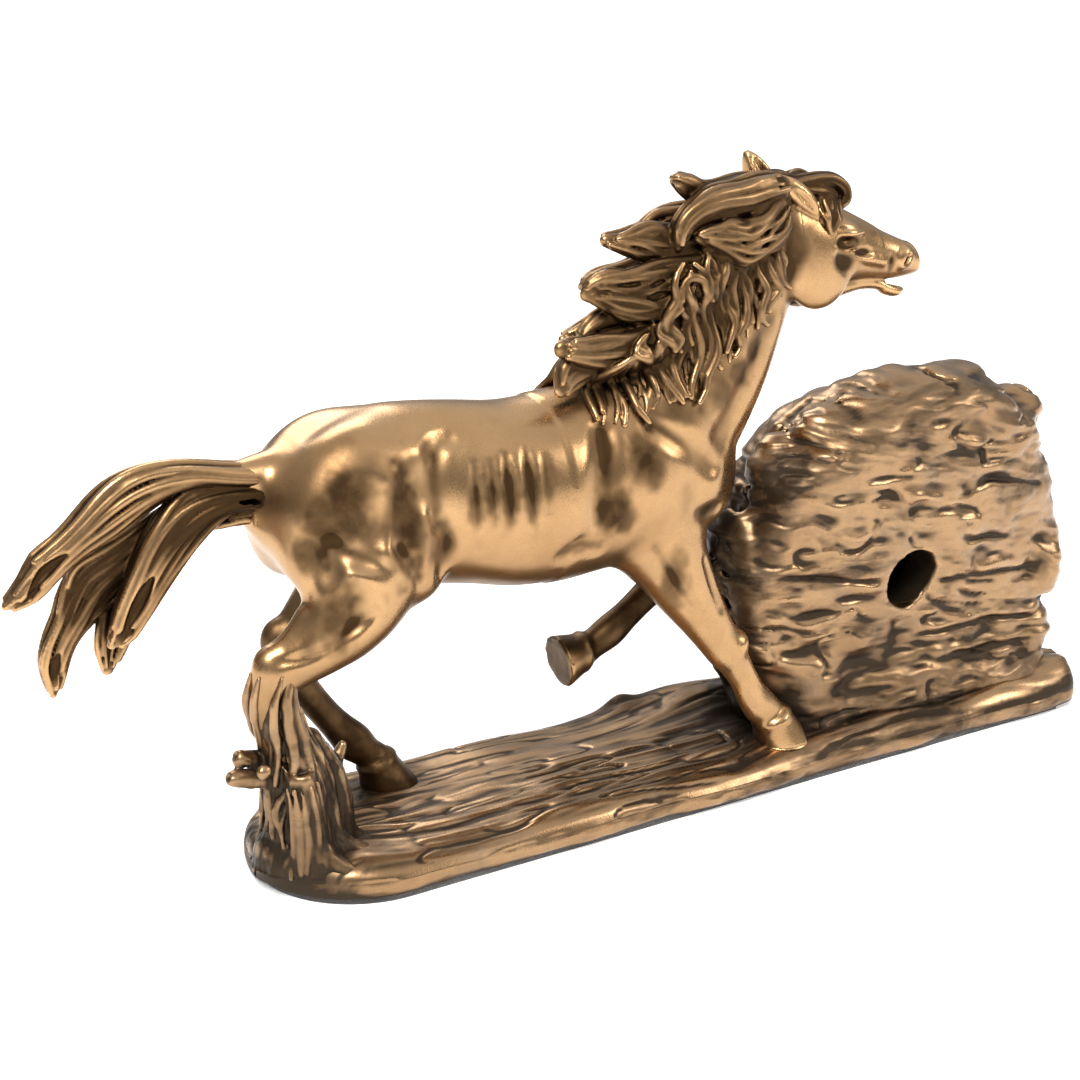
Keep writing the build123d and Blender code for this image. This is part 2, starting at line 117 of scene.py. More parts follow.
class Field:
    """A grid of signed distances in mm, negative inside, that shapes are added to and carved from."""

    def __init__(self, low, high, step):
        self.low, self.step = np.array(low, float), step
        self.count = np.ceil((np.array(high, float) - self.low) / step).astype(int) + 1
        self.value = np.full(self.count, FAR, np.float32)

    def window(self, low, high):
        """The part of the grid inside a box: its slices and its x, y and z."""
        first = np.clip(np.floor((np.array(low) - self.low) / self.step).astype(int), 0, self.count)
        last = np.clip(np.ceil((np.array(high) - self.low) / self.step).astype(int) + 1, 0, self.count)
        if (last <= first).any():
            return None
        cut = tuple(slice(a, b) for a, b in zip(first, last))
        axes = [self.low[i] + self.step * np.arange(first[i], last[i]) for i in range(3)]
        return cut, axes[0][:, None, None], axes[1][None, :, None], axes[2][None, None, :]

    def join(self, cut, d, soft):
        """Smooth union of a distance array with the grid."""
        self.value[cut] = -smooth_max(-self.value[cut], -d, soft)

    def dig(self, cut, d, soft):
        """Smooth removal of a distance array from the grid."""
        self.value[cut] = smooth_max(self.value[cut], -d, soft)

    def blob(self, centre, radii, soft=3.0, pitch=0.0, dig=False):
        """An ellipsoid, turned about Y by pitch, in degrees and nose up."""
        reach = max(radii) + soft + 1
        found = self.window(np.array(centre) - reach, np.array(centre) + reach)
        if found is None:
            return
        cut, x, y, z = found
        x, y, z = x - centre[0], y - centre[1], z - centre[2]
        c, s = math.cos(math.radians(pitch)), math.sin(math.radians(pitch))
        x, z = c * x + s * z, -s * x + c * z
        q = np.sqrt((x / radii[0]) ** 2 + (y / radii[1]) ** 2 + (z / radii[2]) ** 2)
        g = np.sqrt((x / radii[0] ** 2) ** 2 + (y / radii[1] ** 2) ** 2 + (z / radii[2] ** 2) ** 2)
        d = (q * (q - 1) / np.maximum(g, 1e-6)).astype(np.float32)
        (self.dig if dig else self.join)(cut, d, soft)

    def limb(self, stations, soft=3.0, wide=1.0, dig=False, per_span=5, grooves=0, depth=0.0):
        """A tube through stations (x, y, z, radius).

        wide, or a fifth number in a station, stretches it along Y. Grooves run along it.
        """
        rows = smooth_path(stations, per_span)
        if rows.shape[1] == 4:
            rows = np.column_stack((rows, np.full(len(rows), wide)))
        rows[:, 3] = np.maximum(rows[:, 3], 0.15)
        reach = (rows[:, 3] * np.maximum(rows[:, 4], 1)).max() + soft + 1
        found = self.window(rows[:, :3].min(0) - reach, rows[:, :3].max(0) + reach)
        if found is None:
            return
        cut = found[0]
        shape = tuple(s.stop - s.start for s in cut)
        best = np.full(shape, FAR, np.float32)
        start = np.array([s.start for s in cut])
        normal = np.array([0.0, 1.0, 0.0])
        for a, b in zip(rows[:-1], rows[1:]):
            along = b[:3] - a[:3]
            length = np.linalg.norm(along)
            if length < 1e-6:
                continue
            unit = along / length
            normal = normal - unit * (normal @ unit)
            normal /= np.linalg.norm(normal)
            third = np.cross(unit, normal)
            pad = max(a[3], b[3]) * max(a[4], b[4], 1) + soft + 0.8
            piece = self.window(np.minimum(a[:3], b[:3]) - pad, np.maximum(a[:3], b[:3]) + pad)
            if piece is None:
                continue
            sub, x, y, z = piece
            x, y, z = x - a[0], y - a[1], z - a[2]
            t = np.clip((x * unit[0] + y * unit[1] + z * unit[2]) / length, 0, 1)
            ox, oy, oz = x - t * along[0], y - t * along[1], z - t * along[2]
            radius = a[3] + (b[3] - a[3]) * t
            d = np.sqrt(ox * ox + (oy / (a[4] + (b[4] - a[4]) * t)) ** 2 + oz * oz) - radius
            if grooves:
                u = ox * normal[0] + oy * normal[1] + oz * normal[2]
                v = ox * third[0] + oy * third[1] + oz * third[2]
                angle = np.arctan2(v, u) * grooves
                d = d + depth * (1 - np.abs(np.cos(angle / 2)) ** 0.7) * np.minimum(1, radius / 1.2)
            local = tuple(slice(s.start - o, s.stop - o) for s, o in zip(sub, start))
            clipped = tuple(slice(max(l.start, 0), min(l.stop, n)) for l, n in zip(local, shape))
            offset = tuple(slice(c.start - l.start, c.stop - l.start) for c, l in zip(clipped, local))
            best[clipped] = np.minimum(best[clipped], d[offset].astype(np.float32))
        (self.dig if dig else self.join)(cut, best, soft)

    def roughen(self, height, band=3.0):
        """Raises the surface by height(x, y, z) in mm, worked out only near it."""
        spot = np.argwhere(np.abs(self.value) < band)
        x, y, z = (self.low[:, None] + self.step * spot.T).astype(np.float32)
        self.value[tuple(spot.T)] -= height(x, y, z).astype(np.float32)

    def blur(self, reach):
        """The field clipped to its surface band and averaged over reach mm."""
        v = np.clip(self.value, -2 * reach, 2 * reach)
        cells = max(int(round(reach / self.step)), 1)
        return averaged(averaged(v, cells), cells)

    def sample(self, grid, points):
        """Trilinear lookup of a grid at points in mm."""
        p = (points - self.low) / self.step
        i = np.clip(np.floor(p).astype(int), 0, np.array(grid.shape) - 2)
        t = np.clip(p - i, 0, 1)
        near_far = (1 - t, t)
        out = 0
        for dx, dy, dz in np.ndindex(2, 2, 2):
            weight = near_far[dx][:, 0] * near_far[dy][:, 1] * near_far[dz][:, 2]
            out = out + weight * grid[i[:, 0] + dx, i[:, 1] + dy, i[:, 2] + dz]
        return out

    def skin(self):
        """Surface nets: the zero surface as points in mm and quads facing outwards."""
        v = self.value
        inside = v < 0
        cells = np.array(v.shape) - 1
        owner, place, faces = [], [], []
        for axis in range(3):
            low = [slice(None)] * 3
            high = [slice(None)] * 3
            low[axis], high[axis] = slice(None, -1), slice(1, None)
            crossing = inside[tuple(low)] != inside[tuple(high)]
            spot = np.argwhere(crossing)
            v0, v1 = v[tuple(low)][crossing], v[tuple(high)][crossing]
            u, w = (axis + 1) % 3, (axis + 2) % 3
            keep = (spot[:, u] > 0) & (spot[:, w] > 0) & (spot[:, u] < cells[u]) & (spot[:, w] < cells[w])
            spot, v0, v1 = spot[keep], v0[keep], v1[keep]
            point = spot.astype(float)
            point[:, axis] += v0 / (v0 - v1)
            corners = []
            for du, dw in ((0, 0), (1, 0), (1, 1), (0, 1)):
                cell = spot.copy()
                cell[:, u] -= du
                cell[:, w] -= dw
                corners.append(np.ravel_multi_index(cell.T, cells))
            quad = np.stack(corners, 1)
            flip = v0 > 0
            quad[flip] = quad[flip][:, ::-1]
            faces.append(quad)
            for corner in corners:
                owner.append(corner)
                place.append(point)
        owner, place, faces = np.concatenate(owner), np.vstack(place), np.vstack(faces)
        ids, index = np.unique(owner, return_inverse=True)
        many = np.bincount(index)
        points = np.stack([np.bincount(index, place[:, i]) / many for i in range(3)], 1)
        points = self.low + self.step * points
        faces = np.searchsorted(ids, faces)
        for _ in range(2):
            gradient = self.slope(points)
            size = np.maximum((gradient**2).sum(1, keepdims=True), 0.05)
            move = self.sample(self.value, points)[:, None] * gradient / size
            points = points - np.clip(move, -0.4 * self.step, 0.4 * self.step)
        return points, faces

    def face_y(self, x, z, side):
        """The Y of the surface at a place in side view, on one side; None off the shape."""
        i, k = (int(round((v - self.low[axis]) / self.step)) for axis, v in ((0, x), (2, z)))
        if not (0 <= i < self.count[0] and 0 <= k < self.count[2]):
            return None
        line = self.value[i, :: -side, k]
        inside = np.flatnonzero(line < 0)
        if not len(inside):
            return None
        j = inside[0]
        if j:
            j -= line[j] / (line[j] - line[j - 1])
        return self.low[1] + self.step * (j if side < 0 else len(line) - 1 - j)

    def dent(self, x, z, size, depth, side, pitch=0.0, soft=2.0):
        """A dished hollow in one flank; size is its half width and half height."""
        y = self.face_y(x, z, side)
        if y is not None:
            radii = (size[0] * 1.5, 4 * depth, size[1] * 1.5)
            self.blob((x, y + side * 3 * depth, z), radii, soft, pitch, dig=True)

    def crease(self, line, depth, side, soft=1.5):
        """A groove in one flank through places (x, z, radius), deepest at its middle."""
        rows = []
        for index, (x, z, radius) in enumerate(line):
            y = self.face_y(x, z, side)
            if y is None:
                return
            sunk = depth * math.sin(math.pi * index / (len(line) - 1))
            rows.append((x, y + side * (radius - sunk), z, radius))
        self.limb(rows, soft=soft, dig=True)

    def slope(self, points):
        """The field's gradient at points."""
        out = []
        for axis in range(3):
            step = np.zeros(3)
            step[axis] = self.step * 0.7
            ahead = self.sample(self.value, points + step)
            behind = self.sample(self.value, points - step)
            out.append((ahead - behind) / (1.4 * self.step))
        return np.stack(out, 1)


def add_attribute(mesh, label, values):
    """Stores one number per vertex for the materials to read."""
    layer = mesh.attributes.new(label, "FLOAT", "POINT")
    layer.data.foreach_set("value", np.asarray(values, np.float32))


def make_object(name, points, faces, attributes):
    """A smooth-shaded mesh object from points in mm, riding on the castings."""
    mesh = bpy.data.meshes.new(name)
    points = np.asarray(points, np.float32) * MM
    faces = np.asarray(faces, np.int32)
    mesh.vertices.add(len(points))
    mesh.vertices.foreach_set("co", points.ravel())
    corners = faces.shape[1]
    mesh.loops.add(faces.size)
    mesh.loops.foreach_set("vertex_index", faces.ravel())
    mesh.polygons.add(len(faces))
    mesh.polygons.foreach_set("loop_start", np.arange(0, faces.size, corners, dtype=np.int32))
    mesh.polygons.foreach_set("use_smooth", np.ones(len(faces), bool))
    mesh.update(calc_edges=True)
    mesh.validate()
    for label, values in attributes.items():
        add_attribute(mesh, label, values)
    obj = bpy.data.objects.new(name, mesh)
    bpy.context.scene.collection.objects.link(obj)
    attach(obj, "castings")
    return obj


def cast(name, field, scales, cut=None):
    """Turns a field into an object whose attributes say how hollow each place is, at two scales.

    cut is an axis, a place on it and +1 or -1 for the half that is kept.
    """
    blurred = [field.blur(scale) for scale in scales]
    if cut:
        axis, place, keep = cut
        shape = [1, 1, 1]
        shape[axis] = -1
        d = (place - field.low[axis] - field.step * np.arange(field.count[axis])) * keep
        field.value = np.maximum(field.value, d.reshape(shape).astype(np.float32))
    points, faces = field.skin()
    fine, broad = (-field.sample(soft, points) / scale for soft, scale in zip(blurred, scales))
    return make_object(name, points, faces, {"fine": fine, "broad": broad})


def midline(x):
    """The horse's own midline: its quarters stand a little further back than its head."""
    return 4.0 - 9.0 * (x + 125.0) / 135.0


# ---------------------------------------------------------------- horse
SOLE_HEIGHT = 9.6  # where hooves meet the textured ground
# trunk outline, tail to breast: x, top, bottom, half width
TRUNK = np.array(
    (
        (-124.2, 95, 89, 3.5), (-121, 99.8, 84, 8.5), (-116, 103.6, 78, 12.5), (-109, 108.6, 73.5, 15.3),
        (-100, 112.7, 71.5, 17.2), (-90, 114.4, 70, 17.8), (-80, 114.2, 68.8, 17.0),
        (-70, 113.2, 67.2, 17.2), (-58, 111.7, 64.8, 18.6), (-46, 111.2, 64.2, 19.4),
        (-34, 111.2, 65.2, 18.8), (-24, 111.5, 66, 17.4), (-14, 110, 67.5, 15.5), (-5, 105, 69.5, 13.5),
        (2, 98, 73.5, 10.5), (6.3, 92, 78, 7.5), (8.6, 88, 82, 4),
    )
)
# skull and upper jaw, poll to lip: x, top, bottom, half width
SKULL = np.array(
    (
        (19, 154, 140, 5.5), (22, 157, 136, 7.6), (28, 157.6, 133, 8.3), (34, 156, 132, 8.2),
        (40, 153, 131.6, 7.7), (46, 150.2, 132, 6.6), (51.7, 147.4, 132, 5.4), (56.3, 145, 131.8, 4.9),
        (60.4, 143.2, 131.7, 4.8), (63.8, 141.8, 131.9, 4.7), (66.0, 140.9, 132.2, 4.4),
        (67.2, 139.2, 132.4, 3.8), (68.0, 136.6, 132.6, 2.8),
    )
)


def outline_body(field, table, soft, square=2.0):
    """Adds a body whose side view is the table's top and bottom lines."""
    found = field.window(
        (table[0, 0] - 3, -30, table[:, 2].min() - 4), (table[-1, 0] + 3, 30, table[:, 1].max() + 4),
    )
    if found is None:
        return
    cut, x, y, z = found
    xs = x.ravel()
    top, bottom, wide = (ramp(xs, table[:, 0], table[:, i])[:, None, None] for i in (1, 2, 3))
    height = (top - bottom) / 2
    z = z - (top + bottom) / 2
    y = y - midline(x)
    q = ((np.abs(y) / wide) ** square + (np.abs(z) / height) ** square) ** (1 / square)
    g = np.sqrt((y / wide**2) ** 2 + (z / height**2) ** 2)
    d = q * (q - 1) / np.maximum(g, 1e-4)
    d = np.where(q < 0.2, -np.minimum(wide, height), d)
    past = np.maximum(table[0, 0] - x, 0) + np.maximum(x - table[-1, 0], 0)
    d = np.where(past > 0, np.sqrt(np.maximum(d, 0) ** 2 + past**2), d)
    field.join(cut, d.astype(np.float32), soft)


def flank(x, offset, side):
    """The Y at an offset to one side of the horse's midline."""
    return midline(x) + side * offset


def horse_form(field):
    """Trunk, neck, head and legs, as muscle over bone."""
    outline_body(field, TRUNK, 2.0, square=2.2)
    # neck and withers
    field.limb(
        (
            (-16, midline(-16), 94, 22.5), (-7, midline(-7), 105, 21.3), (2, midline(2), 116.5, 18.8),
            (9.5, midline(9.5), 128, 15.8), (15.5, midline(15.5), 137, 13.4),
            (21, midline(21), 145.5, 11.4),
        ),
        soft=9, wide=0.66,
    )
    field.blob((-34, midline(-34), 103.5), (20, 8, 7.5), soft=8)
    # the dock, which the tail's hair covers
    field.limb(
        (
            (-112, 4.4, 100, 7.5), (-120, 4.6, 100.4, 5.8), (-127, 4.7, 101.2, 3.6),
            (-133, 4.8, 101.8, 1.2),
        ),
        soft=4,
    )
    outline_body(field, SKULL, 5.0)
    for side in (NEAR_SIDE, FAR_SIDE):
        # quarters: croup, thigh, buttock
        field.blob((-101, flank(-101, 8.2, side), 94), (17, 11, 18), soft=6, pitch=-12)
        field.blob((-94, flank(-94, 10.2, side), 83), (13, 8.6, 16), soft=5, pitch=18)
        field.blob((-110.5, flank(-112, 8, side), 87.5), (9.2, 8.8, 13.5), soft=5, pitch=-8)
        # ribs swell, shoulder blade, upper arm, breast
        field.blob((-56, flank(-56, 9.5, side), 88), (22, 9.6, 17), soft=7)
        field.blob((-17, flank(-17, 10.5, side), 96), (8.5, 6.4, 17), soft=4, pitch=-26)
        field.blob((-24.5, flank(-24.5, 11.5, side), 86), (9.5, 6.5, 11), soft=3.5, pitch=25)
        field.blob((-8, flank(-6, 9, side), 87), (8.5, 6.5, 8.5), soft=3.5)
        field.blob((-1.5, flank(3, 5.2, side), 82.5), (6.2, 5.4, 8.5), soft=2.5)
        # cheek, brow and zygoma
        field.blob((32.6, flank(32.6, 5.4, side), 138), (10.8, 3.9, 11.2), soft=1.8)
        field.blob((40.3, flank(40.3, 6.0, side), 147.8), (4.4, 2.2, 1.4), soft=1.4, pitch=-12)
        field.limb(
            (
                (35.5, flank(35.5, 7.9, side), 142.4, 0.8), (41.5, flank(41.5, 7.1, side), 140.9, 1.0),
                (47.5, flank(47.5, 5.9, side), 139, 0.9), (54, flank(54, 4.6, side), 137.4, 0.8),
            ),
            soft=1.6,
        )
    hind_legs(field)
    fore_legs(field)
    muscle_lines(field)
    face(field)
    ears(field)


def hoof(field, top, bottom, radius_top, radius_bottom, sole):
    """A hoof: a flared cone under a coronet band, cut flat across the unit vector sole."""
    top, bottom, sole = np.array(top, float), np.array(bottom, float), np.array(sole, float)
    reach = radius_bottom + 4
    found = field.window(np.minimum(top, bottom) - reach, np.maximum(top, bottom) + reach)
    if found is None:
        return
    cut, x, y, z = found
    axis = bottom - top
    length = np.linalg.norm(axis)
    axis /= length
    x0, y0, z0 = x - top[0], y - top[1], z - top[2]
    t = x0 * axis[0] + y0 * axis[1] + z0 * axis[2]
    r = np.sqrt(np.maximum(x0**2 + y0**2 + z0**2 - t**2, 0))
    share = np.clip(t / length, -0.3, 1.6)
    wall = r - (radius_top + (radius_bottom - radius_top) * share)
    floor = (x - bottom[0]) * sole[0] + (y - bottom[1]) * sole[1] + (z - bottom[2]) * sole[2]
    d = np.maximum(np.maximum(wall * 0.95, floor), -t - 1.0)
    field.join(cut, d.astype(np.float32), 1.0)
    band = radius_top + 0.5
    planted = axis[2] < -0.5
    pitch = math.degrees(math.atan2(axis[0], -axis[2])) if planted else 90
    field.blob(top + axis * 0.3, (band, band, 1.2), soft=1.0, pitch=pitch)


def hind_legs(field):
    """The near leg drives off the stump; the far one is planted on the slab."""
    field.limb(
        (
            (-99, -8.0, 84, 14.5), (-101.5, -9.0, 75.5, 13.8), (-106, -9.7, 68.6, 11.2),
            (-112, -9.6, 63.4, 8.6), (-118.5, -9, 59.2, 6.7), (-123.2, -8.2, 55.6, 5.8),
            (-125, -7.8, 50.5, 5.4), (-124.2, -7.5, 44.5, 4.9), (-123, -7.2, 38, 4.7),
            (-121.5, -7, 30, 4.4),
        ),
        soft=4, wide=0.8,
    )
    field.blob((-126.2, -7.6, 59.2), (3.0, 3.0, 4.2), soft=3, pitch=-20)
    field.limb(((-116.8, -9, 70, 1.6), (-120.5, -8.4, 65, 1.5), (-125.6, -7.8, 60, 1.8)), soft=2.4)
    field.blob((-87, -9.8, 75), (5.6, 5.4, 6), soft=4)
    field.limb(
        (
            (-94, 11, 82, 13.5), (-93.5, 12.3, 73, 12.3), (-98, 13.6, 65, 9.6), (-104.5, 14.8, 58, 7.4),
            (-110, 15.3, 52, 6.2), (-109, 15.5, 45.5, 4.9), (-104.8, 15.5, 39.2, 4.1),
            (-100, 15.5, 32.7, 3.9), (-96.2, 15.4, 28, 4.2), (-92.3, 15.2, 24, 4.5),
            (-89.2, 15, 20.3, 4.0), (-86.6, 14.8, 17.2, 4.6),
        ),
        soft=3.5, wide=0.86,
    )
    field.blob((-113.5, 15.2, 56.5), (3, 2.8, 4), soft=3, pitch=-20)
    field.limb(((-97.5, 15.5, 27, 1.4), (-95.2, 15.3, 21.8, 1.8), (-92.5, 15.1, 19, 1.0)), soft=2)
    hoof(field, (-86.6, 14.8, 17.4), (-83.6, 14.4, SOLE_HEIGHT), 5.0, 7.2, (0, 0, -1))


def fore_legs(field):
    """The near leg is planted beside the log; the far one is lifted and folded back."""
    field.limb(
        (
            (-16, -8, 82, 12.5), (-16.5, -10.5, 73, 12.4), (-14, -12.8, 66, 10.4),
            (-10.4, -14.3, 59, 8.7), (-6, -15.4, 51.7, 7.1), (-1.8, -16.3, 45, 6.0),
            (1.6, -16.8, 40.3, 5.7), (4.4, -17, 36, 4.6), (7.7, -17.3, 30.5, 4.0),
            (10.3, -17.5, 25.6, 4.3), (13.2, -17.8, 22, 4.6), (16.6, -18, 18.6, 4.5),
        ),
        soft=4.5, wide=0.84,
    )
    field.blob((4.6, -17.2, 41.2), (2.6, 4.2, 3.6), soft=2.2, pitch=-30)
    field.limb(((9.6, -17.5, 23.6, 1.5), (11.4, -17.7, 19.6, 1.9), (13.5, -17.8, 17.2, 1.0)), soft=2)
    hoof(field, (17.0, -18, 18), (20.6, -18.2, SOLE_HEIGHT), 5.2, 7.6, (0, 0, -1))
    field.limb(
        (
            (-14, 5, 82, 13), (-11, 7, 75, 11.4), (-5, 8.2, 68.5, 8.8), (1, 8.9, 63, 7.1),
            (6.5, 9, 58.5, 5.6),
        ),
        soft=4, wide=0.85,
    )
    field.limb(
        (
            (8.2, 9, 57.2, 5.2), (1, 8.8, 53.6, 4.8), (-7, 8.3, 48.8, 4.2), (-13, 8.1, 44.8, 4.1),
            (-18.5, 8.1, 41.2, 4.6), (-23.5, 8.3, 38.6, 4.2), (-27, 8.5, 37.2, 4.8),
        ),
        soft=2.5, wide=0.85,
    )
    hoof(field, (-27.0, 8.5, 37.0), (-34.0, 9.1, 35.3), 5.0, 7.3, (-0.985, 0.05, -0.17))
    field.blob((-35.9, 9.2, 34.7), (1.5, 3.6, 4.2), soft=0.8, dig=True)


# gaps between the ribs: x, z at the top and at the bottom, and how deep
RIBS = (
    (-75, 97, -74.5, 89, 0.35), (-71, 97, -70.5, 89.5, 0.5), (-67, 98, -66.3, 89, 0.6),
    (-61.8, 99, -60, 88, 0.55), (-57.5, 97, -56.6, 90.5, 0.25),
)


def muscle_lines(field):
    """Hollows and folds between the muscles, near side and far side."""
    for side in (NEAR_SIDE, FAR_SIDE):
        for x, z, low_x, low_z, deep in RIBS:
            middle = ((x + low_x) / 2, (z + low_z) / 2, 2.3)
            field.crease(((x + 1, z + 5, 1.0), middle, (low_x, low_z - 2, 1.0)), deep, side, soft=1.0)
        # flank fold, in two parts, and the hollow in front of it
        field.crease(
            ((-79, 108.5, 1.4), (-82.3, 107, 2.2), (-84.3, 102, 2.6), (-84.8, 96, 2.4), (-84.5, 89, 1.4)),
            1.0, side, soft=3.2,
        )
        field.crease(((-82.3, 88, 1.0), (-81, 81.5, 2.0), (-82.3, 75.5, 1.4)), 0.8, side, soft=3)
        field.dent(-88.5, 102, (3.6, 6), 0.7, side, soft=2)
        # two long hollows in the thigh with a ridge between, and two more below them
        field.dent(-109, 96, (8.4, 9.6), 1.5, side, pitch=10, soft=2)
        field.dent(-93.6, 93.5, (4.6, 9.6), 1.5, side, soft=2.5)
        field.dent(-116.5, 85.5, (5, 5.4), 1.2, side, soft=2.5)
        field.crease(((-111, 88, 1.2), (-106, 84.4, 2.2), (-100.5, 81.5, 1.2)), 0.6, side, soft=3)
        field.crease(((-95.5, 85, 1.0), (-92, 80, 1.7), (-89.5, 76, 1.0)), 0.7, side, soft=2.6)
        # shoulder: behind the blade, before it, at the elbow and on the breast
        field.crease(
            ((-38, 105, 2.0), (-39.3, 99.5, 2.8), (-41, 92.5, 3.0), (-42, 83, 2.2)), 0.7, side, soft=4,
        )
        field.crease(((-24, 105, 1.2), (-14, 98, 2.4), (-6, 92, 1.4)), 0.5, side, soft=4)
        field.crease(((-51, 75, 1.4), (-46.5, 77.6, 2.2), (-41, 75.5, 1.4)), 0.4, side, soft=3)
        field.crease(((-10, 80, 1.0), (-6, 79.2, 1.8), (-2, 79, 1.2)), 0.8, side, soft=2.5)
        # jugular groove along the neck
        field.crease(((-2, 99, 2.0), (8, 111.5, 3.4), (16, 125, 2.2)), 0.5, side, soft=5)
    # near legs: gaskin and hock, then the long hollow down the forearm
    field.dent(-110.5, 71.5, (4.8, 6), 1.6, NEAR_SIDE, pitch=-20, soft=3)
    field.crease(((-111.5, 65.6, 0.8), (-107.5, 68.5, 1.6), (-103.5, 71, 0.8)), 0.8, NEAR_SIDE, soft=2)
    field.crease(((-124.5, 61, 0.7), (-117.5, 61.8, 1.2), (-112, 64, 0.6)), 0.8, NEAR_SIDE, soft=1.6)
    field.crease(
        ((-24, 72.5, 1.2), (-20, 65.5, 2.4), (-15.5, 59, 2.2), (-11, 53.5, 1.0)), 1.1, NEAR_SIDE, soft=2,
    )
    field.crease(((-8, 67, 0.7), (-5.6, 60.5, 1.3), (-3.2, 53.5, 0.7)), 0.35, NEAR_SIDE, soft=2)
    # the gaskin of the far hind leg
    field.crease(((-98, 66, 0.8), (-103, 61, 1.5), (-107, 56.5, 0.8)), 0.8, FAR_SIDE, soft=2)
    # tendons either side of the near cannon
    for y in (-21.4, -12.2):
        field.limb(
            ((-1, y + 0.4, 33.5, 0.3), (5.5, y, 27.2, 0.9), (8.8, y - 0.2, 22.6, 0.3)), soft=1.8,
            dig=True,
        )
    # breast midline
    field.limb(
        ((11, midline(11), 90, 0.9), (9.5, midline(9), 80, 1.3), (4, midline(4), 72, 0.9)), soft=3,
        dig=True,
    )


def face(field):
    """Eyes, nostrils and a half-open mouth with a drooping lower lip."""
    field.limb(
        (
            (30, midline(30), 131.8, 5.0), (37, midline(37), 131, 3.9), (44, midline(44), 131.3, 2.7),
            (50, midline(50), 131.6, 2.1), (56, midline(56), 130.6, 1.6), (59.2, midline(59), 129.1, 1.8),
            (62.0, midline(62), 128.2, 1.6), (64.0, midline(64), 128.3, 0.9),
        ),
        soft=1.0, wide=1.35,
    )
    field.limb(
        ((58.5, midline(58), 131.0, 0.5), (62, midline(62), 130.7, 0.9), (71, midline(71), 130.4, 1.9)),
        soft=0.5, wide=7, dig=True,
    )
    for side in (NEAR_SIDE, FAR_SIDE):
        # eye, brow and lower lid
        field.blob((40.4, flank(40, 7.9, side), 143.7), (4.4, 1.1, 1.7), soft=1.6, pitch=-8, dig=True)
        field.blob((40.6, flank(40, 6.6, side), 143.7), (2.7, 1.7, 1.2), soft=0.3)
        field.limb(
            (
                (36.4, flank(36, 7.8, side), 146.6, 0.4), (40.6, flank(40, 8.3, side), 146.3, 0.8),
                (45.2, flank(45, 7.0, side), 146.2, 0.4),
            ),
            soft=1.2,
        )
        field.limb(
            (
                (37.2, flank(37, 7.9, side), 142.6, 0.2), (40.4, flank(40, 8.2, side), 141.8, 0.35),
                (43.4, flank(43, 7.3, side), 142.3, 0.2),
            ),
            soft=0.9,
        )
        # hollows below the eye, and the line of the lips
        field.blob((45.8, flank(45, 7.2, side), 140.7), (3.2, 1.2, 1.0), soft=1.2, pitch=-6, dig=True)
        field.blob((40, flank(40, 8.3, side), 138.3), (5, 1.0, 2.4), soft=2, pitch=-34, dig=True)
        field.limb(
            (
                (44, flank(44, 6.4, side), 131.6, 0.3), (51, flank(51, 5.9, side), 132.5, 0.7),
                (59, flank(59, 5.4, side), 131.8, 0.5),
            ),
            soft=0.7, dig=True,
        )
        # nostril, and the folds behind it
        field.blob((61.4, flank(61, 4.4, side), 137.6), (2.6, 1.5, 3.0), soft=1.2, pitch=-30)
        field.blob((61.8, flank(61, 6.0, side), 137.4), (0.9, 1.7, 2.1), soft=0.6, pitch=-35, dig=True)
        field.limb(
            (
                (56.4, flank(56, 5.3, side), 139.4, 0.3), (56.6, flank(56, 5.5, side), 136.8, 0.8),
                (55.6, flank(55, 5.4, side), 134.4, 0.3),
            ),
            soft=0.8, dig=True,
        )


def ears(field):
    """The far ear points up and back; the near one is laid forward along the skull."""
    field.limb(
        ((21, -2.2, 156, 4.6), (19.4, -1.6, 161, 3.8), (17.4, -1.2, 165, 2.2), (15.7, -1, 167.6, 0.5)),
        soft=1.2,
    )
    field.limb(
        ((21, -6.2, 158.6, 1.6), (19.2, -4.9, 162.5, 1.7), (17, -2.9, 166, 0.5)), soft=0.6, dig=True,
    )
    field.limb(
        (
            (18.5, -11, 161, 1.8), (22.5, -12.4, 158.6, 2.7), (26.6, -13.4, 155.2, 2.5),
            (30, -13.8, 151.6, 0.7),
        ),
        soft=0.8, wide=0.75,
    )
    field.limb(
        ((21, -14.4, 159.4, 0.5), (24.6, -15.2, 156.4, 1.0), (28.4, -15, 152.8, 0.4)), soft=0.5, dig=True,
    )


# the head is its own finer mesh from the cut forward, and the body runs a little way into it
NECK_CUT, NECK_LAP = 24.0, 1.2
MUSCLE_SCALES = (1.5, 5.0)

body_field = Field((-136, -28, 6), (30, 27, 172), fineness(0.72))
horse_form(body_field)
horse = cast("horse_casting", body_field, MUSCLE_SCALES, cut=(0, NECK_CUT + NECK_LAP, -1))
head_field = Field((17, -22, 122), (73, 8, 170), fineness(0.42))
horse_form(head_field)
horse_head = cast("horse_head", head_field, MUSCLE_SCALES, cut=(0, NECK_CUT, 1))
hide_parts("horse_body", "near_foreleg", "far_foreleg", "near_hindleg", "far_hindleg")


# ---------------------------------------------------------------- hair
def along(line, count):
    """Evenly spaced rows on a smooth line."""
    rows = smooth_path(line, 8)
    run = np.concatenate(([0], np.cumsum(np.linalg.norm(np.diff(rows, axis=0), axis=1))))
    t = np.linspace(0, run[-1], count)
    return np.column_stack([np.interp(t, run, column) for column in rows.T])


